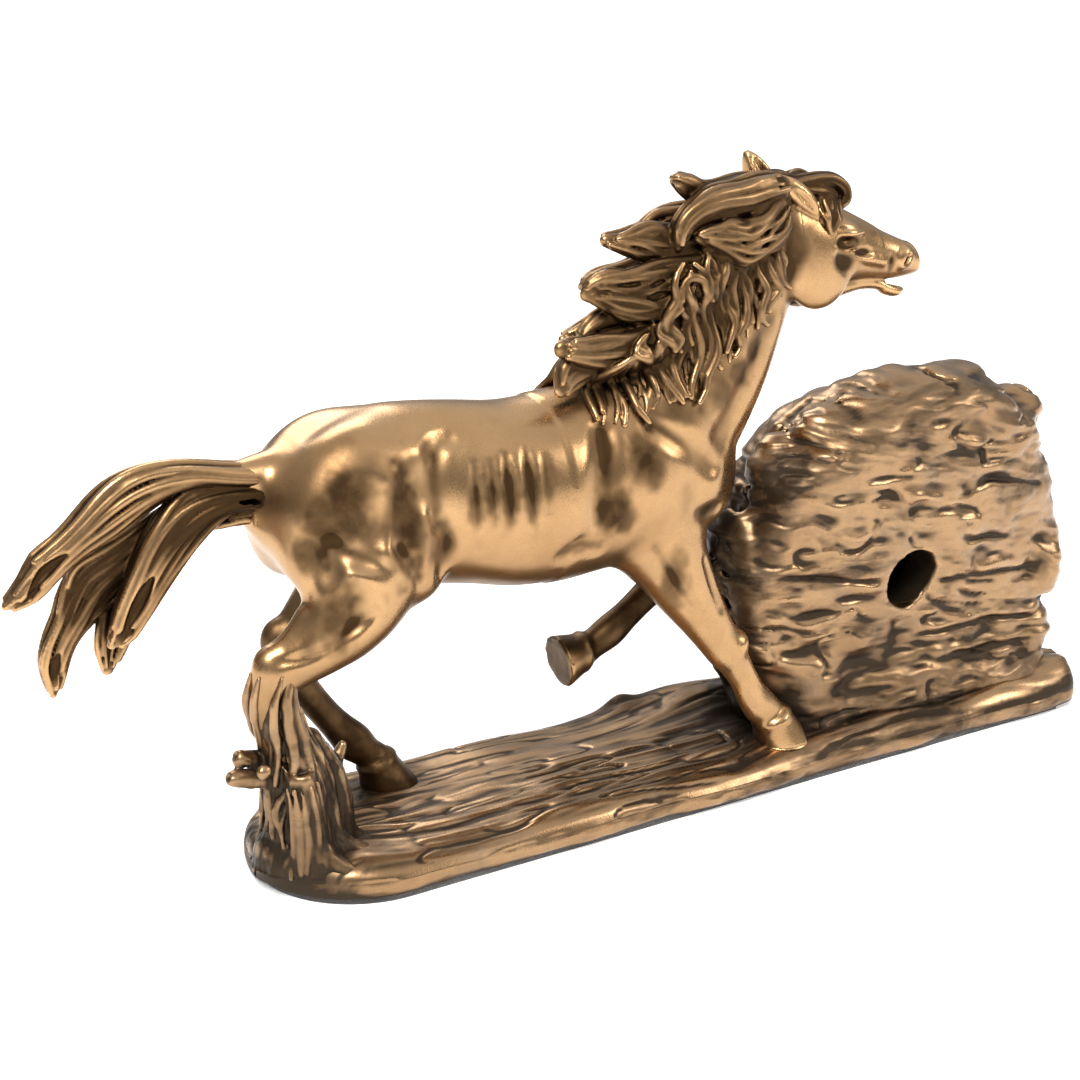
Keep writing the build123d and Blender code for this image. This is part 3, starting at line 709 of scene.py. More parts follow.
def lock(field, upper, lower, depths, thick, strands, seed, size=0.8, wave=0.12, cup=None):
    """A flat lock of hair between two edge lines (x, z) from root to tip, with strands over both faces.

    depths are the y of its middle from root to tip, thick its half thickness at root, middle and
    tip, and cup the share of its length where its faces are hollow.
    """
    count = 14
    t = np.linspace(0, 1, count)
    a, b = along(upper, count), along(lower, count)
    middle, half = (a + b) / 2, np.hypot(*(a - b).T) / 2
    depth = np.interp(t, np.linspace(0, 1, len(depths)), depths)
    thickness = np.interp(t, (0, 0.5, 1), thick)
    core = np.maximum(half * 0.9, 0.9)
    stretch = thickness * 0.75 / core
    field.limb(np.column_stack((middle[:, 0], depth, middle[:, 1], core, stretch)), soft=0.6, per_span=2)
    draw = np.random.default_rng(seed)
    for face in (-1, 1):
        for k in range(strands):
            share = math.cos(math.pi * (k + 0.5) / strands)
            phase, turns, bold = draw.uniform(0, 6.3), draw.uniform(0.6, 1.6), draw.uniform(0.65, 1.45)
            start, stop = draw.uniform(0, 0.12), draw.uniform(0.84, 1.0)
            u = np.linspace(start, stop, count)
            s = share * (1 - 0.15 * u) + wave * np.sin(6.28 * turns * u + phase) * np.sin(math.pi * u)
            s = np.clip(s, -1, 1)
            x, z, across_x, across_z = (np.interp(u, t, row) for row in (*middle.T, *((a - b) / 2).T))
            y = np.interp(u, t, depth) + face * np.interp(u, t, thickness) * np.sqrt(1 - 0.92 * s**2)
            radius = size * bold * (0.5 + 0.6 * np.sqrt(np.sin(math.pi * np.linspace(0.04, 0.96, count))))
            rows = np.column_stack((x + across_x * s, y, z + across_z * s, radius))
            field.limb(rows, soft=0.2, per_span=2)
        if cup:
            pick = (t >= cup[0]) & (t <= cup[1])
            taper = np.sin(math.pi * np.linspace(0.1, 0.9, pick.sum()))
            deep = depth[pick] + face * (thickness[pick] + 0.5)
            bowl = np.maximum(half[pick] * 0.36 * taper, 0.3)
            rows = np.column_stack((middle[pick, 0], deep, middle[pick, 1], bowl))
            field.limb(rows, soft=0.6, dig=True)


HAIR_STEP = fineness(0.42)
HAIR_SCALES = (0.7, 2.2)

tail_field = Field((-184, -2, 52), (-104, 16, 111), HAIR_STEP)
# the dock, and the dark sheet of hair between the longer locks
lock(
    tail_field, ((-108, 103), (-117.5, 103), (-126, 104.5)), ((-110, 84), (-123, 90), (-134, 89.5)),
    (4.5, 5, 5.5), (6.5, 5, 2.5), 10, 1,
)
lock(
    tail_field, ((-139, 98.5), (-150.5, 93), (-159.5, 89.5), (-165.5, 86.5), (-168, 80)),
    ((-136, 92.5), (-144.5, 86), (-151, 80), (-157, 75), (-162.5, 71.5)), (6.5, 8, 8), (2, 1.3, 1), 9, 2,
    size=0.7,
)
# the long lock over the top
lock(
    tail_field,
    (
        (-113, 103), (-127.5, 104.5), (-136.5, 106.5), (-145.5, 107.5), (-153, 107.2), (-158.5, 104.5),
        (-163, 100.5), (-168, 95), (-174, 92), (-178.5, 85.5), (-182, 81),
    ),
    (
        (-114, 97), (-127.5, 99.5), (-135, 101.5), (-141.5, 101), (-147.5, 98.5), (-153, 95),
        (-158.5, 92), (-164, 90), (-168.5, 86.5), (-175.5, 80), (-181.5, 79),
    ),
    (5, 4.5, 4.5, 6), (5, 3.2, 1.5), 11, 3, size=0.85, cup=(0.72, 0.98),
)
# the near lock, cupped towards its round tip
lock(
    tail_field,
    (
        (-114, 98.5), (-128.5, 100), (-136, 101), (-141.5, 99.5), (-145.5, 96), (-149, 92),
        (-152.5, 86.5), (-155.5, 80), (-158, 74), (-159.5, 68),
    ),
    (
        (-116, 92), (-126.5, 95), (-132.5, 93), (-137.5, 88.5), (-142, 83.5), (-146, 78.5), (-149, 74),
        (-152, 70), (-155, 66.5), (-158, 66),
    ),
    (3.5, 2.8, 3.2, 4), (5, 2.6, 1.4), 11, 4, size=0.8, cup=(0.66, 0.97),
)
# two locks hanging behind
lock(
    tail_field,
    (
        (-148, 95), (-156.5, 88.5), (-164, 86), (-168, 80), (-170, 74.5), (-173, 69), (-174.5, 63),
        (-172.5, 56),
    ),
    (
        (-146, 87), (-151, 83), (-157, 77), (-161.5, 71), (-165, 67.5), (-167.5, 62.5), (-169, 58),
        (-170.5, 55.5),
    ),
    (8, 9, 9.5, 9.5), (2.5, 2.2, 1.4), 8, 5, size=0.75, cup=(0.72, 0.97),
)
lock(
    tail_field, ((-151, 88), (-156, 80.5), (-159.5, 72), (-161, 65), (-160, 59.5)),
    ((-142, 85), (-146.5, 77.5), (-149.5, 71), (-152.5, 65), (-156.5, 59)), (8.5, 9.5, 9.5),
    (2.2, 2.2, 1.6), 7, 6, size=0.75,
)
tail = cast("tail_hair", tail_field, HAIR_SCALES)


def drape(fields, x, z, side, least=4.0):
    """How far out the outermost surface of several fields lies at a place in side view."""
    y = midline(x) + side * least
    for field in fields:
        found = field.face_y(x, z, side)
        if found is not None:
            y = side * max(side * found, side * y)
    return y


def strand(field, under, line, side, radius, lift=0.3, plump=(0.5, 1.0, 0.55)):
    """One strand through places (x, z), lying on the fields under it."""
    flat = along(line, 9)
    y = [drape(under, x, z, side) for x, z in flat]
    y = np.convolve(np.pad(y, 1, mode="edge"), (0.25, 0.5, 0.25), "valid") + side * lift
    swell = np.interp(np.linspace(0, 1, 9), (0, 0.5, 1), plump) * radius
    field.limb(np.column_stack((flat[:, 0], y, flat[:, 1], swell)), soft=0.35, per_span=2)


def hang(
    field, under, roots, tips, count, side, draw, bold=(0.8, 1.35), lift=(0.0, 0.8), sway=(1.0, 2.4),
):
    """A row of wavy strands between a line of roots and a line of tips."""
    for root, tip in zip(along(roots, count), along(tips, count)):
        root, tip = root + draw.uniform(-1.4, 1.4, 2), tip + draw.uniform(-2.4, 2.4, 2)
        swing = draw.uniform(*sway) * draw.choice((-1, 1))
        line = []
        for t in (0, 0.25, 0.5, 0.75, 1):
            sway_x = swing * math.sin(6.0 * t + draw.uniform(-0.6, 0.6))
            line.append(root + (tip - root) * t + (sway_x, 0))
        strand(field, under, line, side, draw.uniform(*bold), lift=draw.uniform(*lift))


# hanging strands on the near side: each is a row of places (x, z) from root to tip
FRINGE = (
    ((-30, 122), (-34, 119), (-36.5, 115.5), (-38.5, 111.5), (-38.5, 107.5)),
    ((-30, 121), (-31.5, 119), (-34.5, 114), (-36.5, 109)),
    ((-29, 122), (-29.5, 118.5), (-27.5, 114.5), (-27.5, 109.5), (-25, 105.5)),
    ((-25, 124), (-23, 119.5), (-21.5, 115.5), (-21, 111.5)),
    ((-22, 125), (-20, 120), (-18.5, 115), (-15.5, 109.5)),
    ((-18, 126), (-16.5, 120), (-16, 115), (-14.5, 111)),
    ((-14, 136), (-12, 131), (-9.5, 124.5), (-9, 120), (-12, 114.5), (-13, 110.5)),
    ((-9, 137), (-8.5, 131.5), (-6.5, 126.5), (-6, 121.5), (-9, 116)),
    ((-6, 135), (-5, 129.5), (-4, 123.5), (-4.5, 119.5), (-7.5, 115.5), (-9, 111), (-11, 109)),
    ((-2.5, 142), (-6, 138.5), (-5, 133.5), (-6.5, 129)),
    ((1, 139), (-0.5, 133), (1.5, 128), (0, 124), (-1.5, 120.5)),
    ((3, 142), (1, 136.5), (2.5, 131.5), (2, 126.5)),
    ((5, 143), (4.5, 137.5), (5.5, 132.5), (4.5, 127.5), (2, 123.5), (3, 121), (1, 119)),
    ((8.5, 144), (10, 138.5), (12, 135), (10.5, 131), (10, 128), (12.5, 125.5)),
    ((12, 146), (13, 140.5), (15, 136.5), (16.5, 134), (13.5, 131.5), (13, 129)),
    ((16.5, 149), (15.5, 144), (16, 139.5), (17, 136.5), (20.5, 134)),
    ((-15, 144), (-18, 140), (-17.5, 135), (-20, 131), (-19, 126.5), (-15, 122)),
    ((-16, 135), (-15.5, 138.5), (-12.5, 140.5), (-9.5, 139), (-9, 136.5), (-6.5, 134)),
)

mane_field = Field((-52, -24, 101), (27, 15, 169), fineness(0.48))
# the mass of hair along the crest
mane_field.limb(
    (
        (-33, -3, 118, 3.5), (-27, -3.5, 121, 6.5), (-18, -4.5, 126.5, 8.5), (-8, -5, 134.5, 9),
        (0, -5.5, 142, 9.5), (8, -6, 149.5, 9), (15, -6.5, 155.5, 6),
    ),
    soft=2,
)
# locks blown back from the crest: lowest first
lock(
    mane_field, ((-26, 121.5), (-35, 121.5), (-41, 121.5), (-45.5, 122), (-46.5, 117)),
    ((-26, 117), (-33, 117.5), (-38, 116.5), (-42, 114.6), (-45.5, 112.6)), (-6, -8, -10), (3.5, 2.2, 1),
    9, 21,
)
lock(
    mane_field, ((-8, 131.5), (-18, 129.8), (-25, 128.4), (-32, 127.6), (-39, 126.8), (-45.2, 127.4)),
    ((-6, 121), (-15, 121.2), (-24, 120), (-33, 119.8), (-40, 120.4), (-46.2, 122.4)),
    (-11, -11.5, -11.5, -10), (4.5, 3, 2.0), 14, 22, size=0.9, wave=0.25,
)
lock(
    mane_field, ((-15, 135), (-25, 132.5), (-32, 132.3), (-36, 131), (-39.6, 127.6)),
    ((-15, 128), (-24, 128.5), (-31, 128), (-36, 126.6), (-39.8, 126)), (-7, -7, -8), (3, 2, 0.9), 8, 23,
)
lock(
    mane_field,
    ((0, 147), (-10, 145.6), (-19, 143.8), (-26, 142.5), (-33, 142.8), (-37.5, 141.8), (-39.8, 138.4)),
    ((-6, 131), (-14, 130.3), (-21, 129), (-26, 129.6), (-31, 131.8), (-34, 134.6), (-37, 136.2)),
    (-12, -12.5, -11, -9), (5, 3.4, 1.4), 16, 24, size=0.85, wave=0.2, cup=(0.78, 0.96),
)
lock(
    mane_field, ((-4, 151), (-14, 152), (-19.5, 153), (-24, 152.3), (-28, 151.6), (-31.4, 151.4)),
    ((-6, 142.5), (-15.5, 143.6), (-21, 144.5), (-25.5, 146), (-29, 147.2), (-32, 148.2)),
    (-10, -10, -9, -7.5), (4, 2.8, 1.7), 11, 25, wave=0.3,
)
lock(
    mane_field, ((17, 163), (8, 162.6), (0.5, 161.3), (-3.5, 162), (-8, 164.4), (-12, 164.6)),
    ((12.5, 155), (3.5, 154), (-1, 155.5), (-5.5, 157), (-9, 159), (-12.6, 162.6)), (-8, -8, -8, -8.5),
    (6.5, 3.4, 1.7), 10, 26,
)
# the same over the far side, shorter
lock(
    mane_field, ((-3, 144), (-12, 143), (-20, 141), (-27, 140.5), (-31, 138)),
    ((-8, 131), (-17, 130), (-23, 131), (-28, 134), (-31, 136)), (2, 3, 3.5), (5, 3, 1.4), 11, 31,
)
lock(
    mane_field, ((-10, 132), (-20, 130), (-29, 128), (-36, 125)),
    ((-10, 122), (-20, 120), (-29, 120), (-36, 122)), (3, 4, 4.5), (4.5, 3, 1.4), 11, 32,
)
lock(
    mane_field, ((4, 156), (-4, 155), (-12, 153), (-18, 149)),
    ((3, 146), (-5, 145), (-12, 145), (-17, 147)), (0, 1.5, 1.5), (5, 3, 1.4), 9, 33,
)
# strands that hang over the neck and over the locks' roots
crown = copy.copy(mane_field)
crown.value = mane_field.value.copy()
under = (body_field, crown)
draw = np.random.default_rng(11)
for side in (NEAR_SIDE, FAR_SIDE):
    hang(
        mane_field, under, ((-31, 121), (-20, 130), (-9, 140), (3, 147), (16, 152)),
        ((-38, 108.5), (-27, 107.5), (-16, 111), (-9, 113), (0, 121.5), (9, 127), (18, 136)), 38, side,
        draw,
    )
    hang(
        mane_field, under, ((-27, 124), (-19, 133), (-12, 142), (-4, 149), (6, 150), (17, 152)),
        ((-27, 116), (-19, 119), (-12, 123), (-4, 129), (6, 133), (16, 140)), 26, side, draw, (0.9, 1.5),
        (0.6, 1.5), (1.4, 3.0),
    )
    for row in FRINGE:
        shift = 0 if side < 0 else draw.uniform(-2.5, 2.5)
        strand(mane_field, under, [(x + shift, z) for x, z in row], side, 1.35, lift=1.3)
# the swirl over the poll, and the bun that curls beneath it
lock(
    mane_field,
    (
        (19, 162.8), (10, 163), (4, 161.8), (-4, 161.2), (-8.5, 159.5), (-13, 156.5), (-16, 152.8),
        (-15.3, 148.5),
    ),
    (
        (19, 156), (10.5, 154), (4, 153.8), (-2, 153.5), (-6.5, 153.2), (-10.5, 151.8), (-13, 149),
        (-13.8, 146.5),
    ),
    (-11, -13, -14, -14), (4.5, 3.2, 1.6), 13, 27, size=0.8,
)
mane_field.blob((11, -13.5, 149.6), (6.6, 4.4, 6.2), soft=1.0)
lock(
    mane_field,
    (
        (18, 158.5), (13, 156.8), (7, 154), (2.5, 152.2), (-0.5, 153.2), (-5, 152.7), (-9.5, 152),
        (-10.8, 151),
    ),
    ((19, 154), (18.5, 148.5), (15.5, 145.5), (11, 144), (6, 142.8), (3, 142), (-2, 144.8), (-8, 148.6)),
    (-13, -15.5, -16.5, -16), (3.5, 4.2, 1.6), 13, 28, size=0.8, wave=0.2,
)
mane = cast("mane_hair", mane_field, HAIR_SCALES)

forelock_field = Field((12, -20, 142), (48, 2, 168), HAIR_STEP)
forelock_field.limb(
    ((15, -6.5, 158.5, 4), (21, -7, 159.8, 3.6), (27, -7.5, 158.6, 2.6)), soft=1.5, grooves=9, depth=0.5,
)
# the round curl
forelock_field.limb(
    (
        (24, -8.5, 159.2, 2.2), (30, -9.5, 160.2, 2.0), (36, -10, 160.2, 1.9), (40.3, -10.2, 157.8, 1.9),
        (40.6, -10.6, 154.4, 1.8), (36.6, -11.2, 153.4, 1.6), (32.5, -11.4, 155.6, 1.1),
    ),
    soft=0.6, wide=1.5, grooves=7, depth=0.45,
)
forelock_field.limb(
    ((27, -10.5, 158.6, 1.2), (32, -11.5, 157.8, 1.6), (36.5, -11.8, 156.4, 1.1)), soft=0.5, grooves=6,
    depth=0.4,
)
# the lock that hangs over the brow, hollow down its middle
lock(
    forelock_field, ((30.5, 156), (30.5, 152.5), (31.5, 149.5), (33.3, 146.6)),
    ((38, 155), (37.2, 152), (36.4, 149.4), (33.8, 146.4)), (-11.5, -14, -14.6), (2, 1.6, 0.8), 5, 41,
    size=0.6, cup=(0.3, 0.9),
)
lock(
    forelock_field, ((26, 161), (31, 161.5), (35, 160)), ((24, 157), (30, 157), (36, 156.5)),
    (-4, -3.5, -4.5), (3, 2.4, 1.4), 6, 42,
)
forelock = cast("forelock_hair", forelock_field, (0.6, 1.8))
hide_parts("tail")
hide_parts("mane")
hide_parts("forelock")


# ---------------------------------------------------------------- stump
def stump_grain(x, y, z):
    """Short upright grain in the stump's bark."""
    return 0.35 * noise(x / 2.2, y / 2.2, z / 7, 3) + 0.18 * noise(x / 0.9, y / 0.9, z / 3, 4)


def build_stump():
    """The broken stump that the near hind hoof drives from: ridged bark, a sawn branch, snapped stubs."""
    field = Field((-141, -24, 7), (-98, 8, 68), fineness(0.42))
    field.limb(
        (
            (-118.5, -7, 7, 12.5), (-118.6, -7.2, 13, 9.8), (-118.8, -7.2, 21, 8.9),
            (-119.6, -7.2, 30, 7.4), (-121.8, -7.3, 39, 5.8), (-124.2, -7.5, 46, 5.0),
            (-125.5, -7.6, 51, 4.2),
        ),
        soft=2, wide=1.0,
    )
    for row in (
        (
            (-119.6, -14.6, 8, 4.4), (-120.2, -14.8, 16, 4.2), (-120.8, -14.6, 24, 3.8),
            (-121.6, -14.4, 31.4, 3.3),
        ),
        ((-125, -7.5, 30.5, 2.6), (-131, -7.5, 31.4, 2.2), (-136, -8, 32.8, 1.9)),
        ((-124.5, -5, 33.5, 2.4), (-129, -5.6, 35, 2.1), (-133, -6, 36.6, 2.0)),
        ((-110, -4, 22, 2.8), (-106.8, -2.6, 27.4, 1.9), (-104.4, -2, 31.8, 1.1)),
        ((-110.4, -5, 8, 6.4), (-109.4, -5, 17, 5.6), (-110.8, -5.2, 27, 4.6), (-114.4, -6, 37, 2.8)),
    ):
        field.limb(row, soft=1.6)
    field.blob((-130, -12, 34.6), (1.8, 1.7, 1.7), soft=0.8)
    # the sawn face, slightly dished
    field.blob((-121.8, -14.4, 35.6), (4.6, 4.6, 2.6), soft=0.6, dig=True)
    field.blob((-138, -8.1, 33.2), (1.2, 1.2, 1.2), soft=0.5, dig=True)
    field.blob((-134.8, -6.2, 37.4), (1.2, 1.2, 1.2), soft=0.5, dig=True)
    pull = np.random.default_rng(5)
    for k in range(26):
        angle = 2 * math.pi * k / 26 + pull.uniform(-0.08, 0.08)
        lean, bold = pull.uniform(-0.5, 0.5), pull.uniform(0.55, 1.15)
        foot, head = pull.uniform(8, 20), pull.uniform(34, 54)
        rows = []
        for t in np.linspace(0, 1, 7):
            z = foot + (head - foot) * t
            turn = angle + lean * t + 0.16 * math.sin(7 * t + k)
            radius = float(np.interp(z, (8, 13, 21, 30, 39, 50), (12.2, 10, 9, 7.6, 6, 5)))
            x = float(np.interp(z, (8, 30, 39, 50), (-118.5, -119.6, -121.4, -124.2)))
            rows.append(
                (
                    x + radius * math.cos(turn), -7.2 + radius * math.sin(turn), z,
                    bold * (0.5 + 0.5 * math.sin(math.pi * min(t + 0.15, 1))),
                )
            )
        field.limb(rows, soft=0.5, per_span=3)
    for k in range(9):
        angle = pull.uniform(3.4, 6.0)
        x, y = -121 + 4.2 * math.cos(angle), -14.8 + 4.0 * math.sin(angle)
        field.limb(
            (
                (x, y, 9, 0.7), (x + 0.4, y + 0.3, 18, 0.8), (x, y + 0.4, 25, 0.6),
                (x - 0.7, y + 0.5, 30.5, 0.3),
            ),
            soft=0.4,
        )
    # bark that climbs the leg as far as the hock
    for k in range(9):
        angle = 2 * math.pi * k / 9 + pull.uniform(-0.2, 0.2)
        bold, twist, high = pull.uniform(0.9, 1.6), pull.uniform(0.5, 1.6), pull.uniform(-4, 3)
        rows = []
        for z, x, radius, size in (
            (30, -120, 7.2, 0.8), (38, -121.6, 6.0, 1.1), (46, -124.4, 5.4, 1.2),
            (52 + high / 2, -125.3, 5.3, 1.0), (58 + high, -124.4, 5.4, 0.4),
        ):
            turn = angle + twist * (z - 30) / 28
            rows.append((x + radius * math.cos(turn), -7.6 + radius * math.sin(turn), z, bold * size))
        field.limb(rows, soft=0.35, per_span=3)
    # low roots that sink into the ground
    for x, y, far_x, far_y in ((-112, -13, -104, -16), (-110, -6, -101, -8), (-118, -18, -112, -21)):
        field.limb(
            ((x, y, 12, 2.6), ((x + far_x) / 2, (y + far_y) / 2, 9.6, 2.6), (far_x, far_y, 7.5, 2.0)),
            soft=2.4,
        )
    field.roughen(stump_grain)
    return field, cast("stump_bark", field, (0.7, 2.0))


stump_field, stump = build_stump()
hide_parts("tree_stump")


# ---------------------------------------------------------------- log
TILT = math.radians(9)
LOG = (66.0, 0.0, 53.0)  # the clock's centre, which is the log's too
BORE, SEAT, SEAT_DEPTH, BORE_END = 31.0, 37.3, 15.0, -10.0
HOLE, HOLE_X = 8.6, 62.5
BARK_SLOPE = 0.14  # the bark's rows drop towards the head end
# the longest cracks across the back: x, z at each end, how deep and how wide
CRACKS = (
    (15, 57.5, 52, 50.8, 1.0, 0.8), (71, 47.5, 113, 44.0, 1.1, 0.8), (14, 43, 37, 38.3, 0.9, 0.8),
    (65, 31.5, 118, 28.8, 1.2, 0.9), (72, 22, 112, 21, 0.9, 1.2), (84, 76.5, 112, 70, 0.8, 0.9),
    (38, 82, 66, 80.5, 0.6, 0.8), (76, 60, 101, 56, 0.7, 0.9),
)


def log_depth(y, z):
    """Depth along the clock's axis from the log's centre, and height square to it."""
    z = z - LOG[2]
    return y * math.cos(TILT) + z * math.sin(TILT), z * math.cos(TILT) - y * math.sin(TILT)


def bark_height(x, y, z):
    """Bark in soft overlapping waves across the log, split here and there by meandering cracks."""
    level = z + BARK_SLOPE * (x - LOG[0]) * np.clip((z - 12) / 25, 0, 1)
    sway = 2.6 * noise(x / 23, y / 23, z / 15, 21) + 1.1 * noise(x / 8, y / 8, z / 7, 22)
    v = level + sway
    calm = 0.45 + 0.55 * np.clip(0.5 + 1.4 * noise(x / 27, y / 27, z / 18, 30), 0, 1)
    plates = noise(x / 15, y / 17, v / 3.3, 23)
    waves = noise(x / 8, y / 9, v / 1.7, 24)
    grain = noise(x / 4, y / 4, v / 0.9, 26)
    veins = noise(x / 13 + 5, y / 15, v / 3.8, 25)
    split = np.exp(-((veins / 0.11) ** 2)) * np.clip(1.6 * noise(x / 10, y / 10, z / 7, 28) + 0.25, 0, 1)
    broken = noise(x / 6, y / 6, z / 4, 29)
    swell = noise(x / 21, y / 21, z / 13, 27)
    height = calm * (1.3 * plates + 0.55 * waves - 1.1 * split) + 0.2 * grain + 0.4 * broken + 0.9 * swell
    for x0, z0, x1, z1, deep, wide in CRACKS:
        t = (x - x0) / (x1 - x0)
        gap = z - (z0 + (z1 - z0) * t) - 0.8 * noise(x / 7, x0, z1, 31)
        ends = np.clip(np.minimum(t, 1 - t) * 7, 0, 1) * np.clip((-10 - y) / 4, 0, 1)
        lip = 0.5 * np.exp(-(((gap - 2.2) / 1.8) ** 2))
        height = height - ends * deep * np.exp(-((gap / wide) ** 2)) + ends * lip
    return height


def log_form(field):
    """The hollow log: a bulging barrel on a spread foot, bored for the clock and for a finger."""
    x = (field.low[0] + field.step * np.arange(field.count[0]))[:, None, None]
    y = (field.low[1] + field.step * np.arange(field.count[1]))[None, :, None]
    z = (field.low[2] + field.step * np.arange(field.count[2]))[None, None, :]
    s, u = log_depth(y, z)
    across = x - LOG[0]
    r = np.sqrt(across**2 + u**2)
    oval = np.sqrt((across / 1.045) ** 2 + u**2)
    angle = np.arctan2(u, across)
    lumpy = 1.2 * np.sin(2 * angle + 0.6) + 1.1 * np.sin(5 * angle + 2.0)
    lumpy = lumpy + 0.8 * np.sin(9 * angle + s / 9)
    wide = np.interp(s, (-24, -17, -12, -5, 4, 12, 18), (50, 52.5, 54, 55, 53.6, 50, 45.5)) + lumpy * 0.7
    side = (oval - wide) * 0.95
    back = (-22.6 + 3.6 * (r / 49) ** 2.6) - s
    front = s - 18.0
    field.value = smooth_max(smooth_max(side, back, 5), front, 3).astype(np.float32)
    # the foot, spread towards the head end
    for centre, radii in (
        ((73, -2, 12), (49, 21, 19)), ((104, -4, 12), (23, 21, 9)), ((38, -3, 12), (16, 19, 14)),
        ((33, -2, 22), (12, 18, 16)), ((106, -3, 26), (14, 17, 16)),
    ):
        field.blob(centre, radii, soft=6)
    # burrs and broken ledges round the rim
    for centre, radii in (
        ((35, -13, 94), (8, 6, 5.5)), ((48, -14, 98), (5.5, 5, 4.5)), ((23, -8, 84), (8, 8, 9)),
        ((62, -6, 100.5), (16, 9, 5.5)), ((87, -7, 99.8), (10.5, 9, 6.6)),
        ((108, -8, 88.5), (10.5, 9, 8)), ((119, -9, 44), (8.6, 13, 14)), ((115, -8, 22), (10, 14, 13)),
        ((117, -6, 62), (6, 11, 10)), ((12, -4, 62), (4, 10, 12)),
    ):
        field.blob(centre, radii, soft=3.5)
    # the notch above the foot at the head end
    field.blob((128.5, -9, 22.5), (4.6, 22, 4.2), soft=3, dig=True)
    # long folds down the wall that faces the horse
    for k, start in enumerate((-8, -2.5, 3, 8.5)):
        field.limb(
            (
                (40 - k * 2, start, 100 - abs(k - 2), 0.8), (22 - k, start + 1, 86, 1.5),
                (13, start + 2, 68, 1.5), (12, start + 2, 50, 1.5), (16, start + 1, 32, 1.3),
                (22, start, 16, 0.9),
            ),
            soft=3, dig=True,
        )
    field.roughen(bark_height)
    # clean bores, after the bark
    bore = np.maximum(r - BORE, BORE_END - s)
    seat = np.maximum(r - SEAT, SEAT_DEPTH - s)
    hole = np.sqrt((x - HOLE_X) ** 2 + u**2) - HOLE - 0.25 * np.sin(3 * np.arctan2(u, x - HOLE_X))
    field.value = np.maximum(field.value, -np.minimum(bore, seat)).astype(np.float32)
    hollow = smooth_max(field.value, -hole, 1.2)
    field.value = np.where(s < BORE_END + 4, hollow, field.value).astype(np.float32)
    field.value = np.maximum(field.value, 9.0 - z).astype(np.float32)


# the log's back is its own finer mesh as far as the cut, and runs a little way into its front
LOG_CUT, LOG_LAP = -8.0, 1.4
LOG_SCALES = (0.9, 2.8)

back_field = Field((6, -32, 8), (134, LOG_CUT + 4, 114), fineness(0.58))
log_form(back_field)
log_back = cast("log_back_bark", back_field, LOG_SCALES, cut=(1, LOG_CUT + LOG_LAP, -1))
front_field = Field((6, LOG_CUT - 4, 8), (134, 30, 114), fineness(0.66))
log_form(front_field)
log_front = cast("log_front_bark", front_field, LOG_SCALES, cut=(1, LOG_CUT, 1))
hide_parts("log_housing")


# ---------------------------------------------------------------- ground slab
LEFT, RIGHT, HALF_DEPTH, FOOT, TOP = -128.0, 128.0, 28.5, 1.5, 10.5
CORNER = 7.0  # radius of the slab's corners at the head end
DROP = 5.0  # how far the top falls away at its rim
# swells in the top, at the stump, the hooves, the log and the edge: x, y, size, height
SWELLS = (
    (-83, 14.5, 11, 1.0), (20, -18, 9, 0.7), (22, 16, 16, 2.4), (-3.5, 25, 5, 2.6), (-119, -7, 16, 1.8),
    (10, 20, 12, 1.4), (122, -20, 13, 3.2), (98, -22, 15, 2.0), (60, -21, 16, 1.2),
)


def slab_outline():
    """Places along the slab, closest at its ends, and the half depth at each."""
    steps = fineness(560)
    ends = steps // 10
    turn = np.linspace(0, math.pi / 2, ends, endpoint=False)
    middle = np.linspace(LEFT + HALF_DEPTH, RIGHT - CORNER, steps - 2 * ends, endpoint=False)
    last = RIGHT - CORNER + CORNER * np.sin(np.linspace(0, math.pi / 2, ends))
    x = np.concatenate((LEFT + HALF_DEPTH * (1 - np.cos(turn)), middle, last))
    round_end = np.sqrt(np.maximum(HALF_DEPTH**2 - (LEFT + HALF_DEPTH - x) ** 2, 0))
    reach = np.where(x < LEFT + HALF_DEPTH, round_end, HALF_DEPTH)
    corner = HALF_DEPTH - CORNER + np.sqrt(np.maximum(CORNER**2 - (x - RIGHT + CORNER) ** 2, 0))
    reach = np.where(x > RIGHT - CORNER, corner, reach)
    return x, np.maximum(reach, 0.4)


def grain_height(x, y):
    """Wood grain that parts round the stump and is calmer on the far side, with broad swells."""
    gap = np.hypot((x + 119) / 1.6, y + 7)
    bend = 5 * np.exp(-((gap / 15) ** 2)) * np.sign(y + 7.01)
    sway = 2.6 * noise(x / 38, y / 30, 0.3, 51) + 1.2 * noise(x / 17, y / 12, 0.7, 52)
    flow = y + bend + sway
    ridges = noise(x / 21, flow / 2.3, 0.0, 53)
    wisps = noise(x / 9, flow / 1.25, 0.0, 54)
    broken = np.clip(noise(x / 14, y / 9, 0.5, 56) * 1.5 + 0.5, 0, 1)
    cracks = np.exp(-((noise(x / 17 + 4, flow / 2.9, 0.0, 55) / 0.1) ** 2)) * broken
    far_part = 1 / (1 + np.exp(-(y - 2) / 3.5))
    near_band = 1 / (1 + np.exp((y + 25) / 1.5))
    busy = (1 - 0.55 * far_part) * (1 - 0.45 * near_band)
    height = busy * (0.72 * ridges + 0.28 * wisps - 0.9 * cracks)
    height = height + (0.6 + 0.8 * far_part) * noise(x / 26, y / 13, 0.0, 57)
    for cx, cy, size, lift in SWELLS:
        height = height + lift * np.exp(-(((x - cx) / size) ** 2 + ((y - cy) / (size * 0.8)) ** 2))
    return height


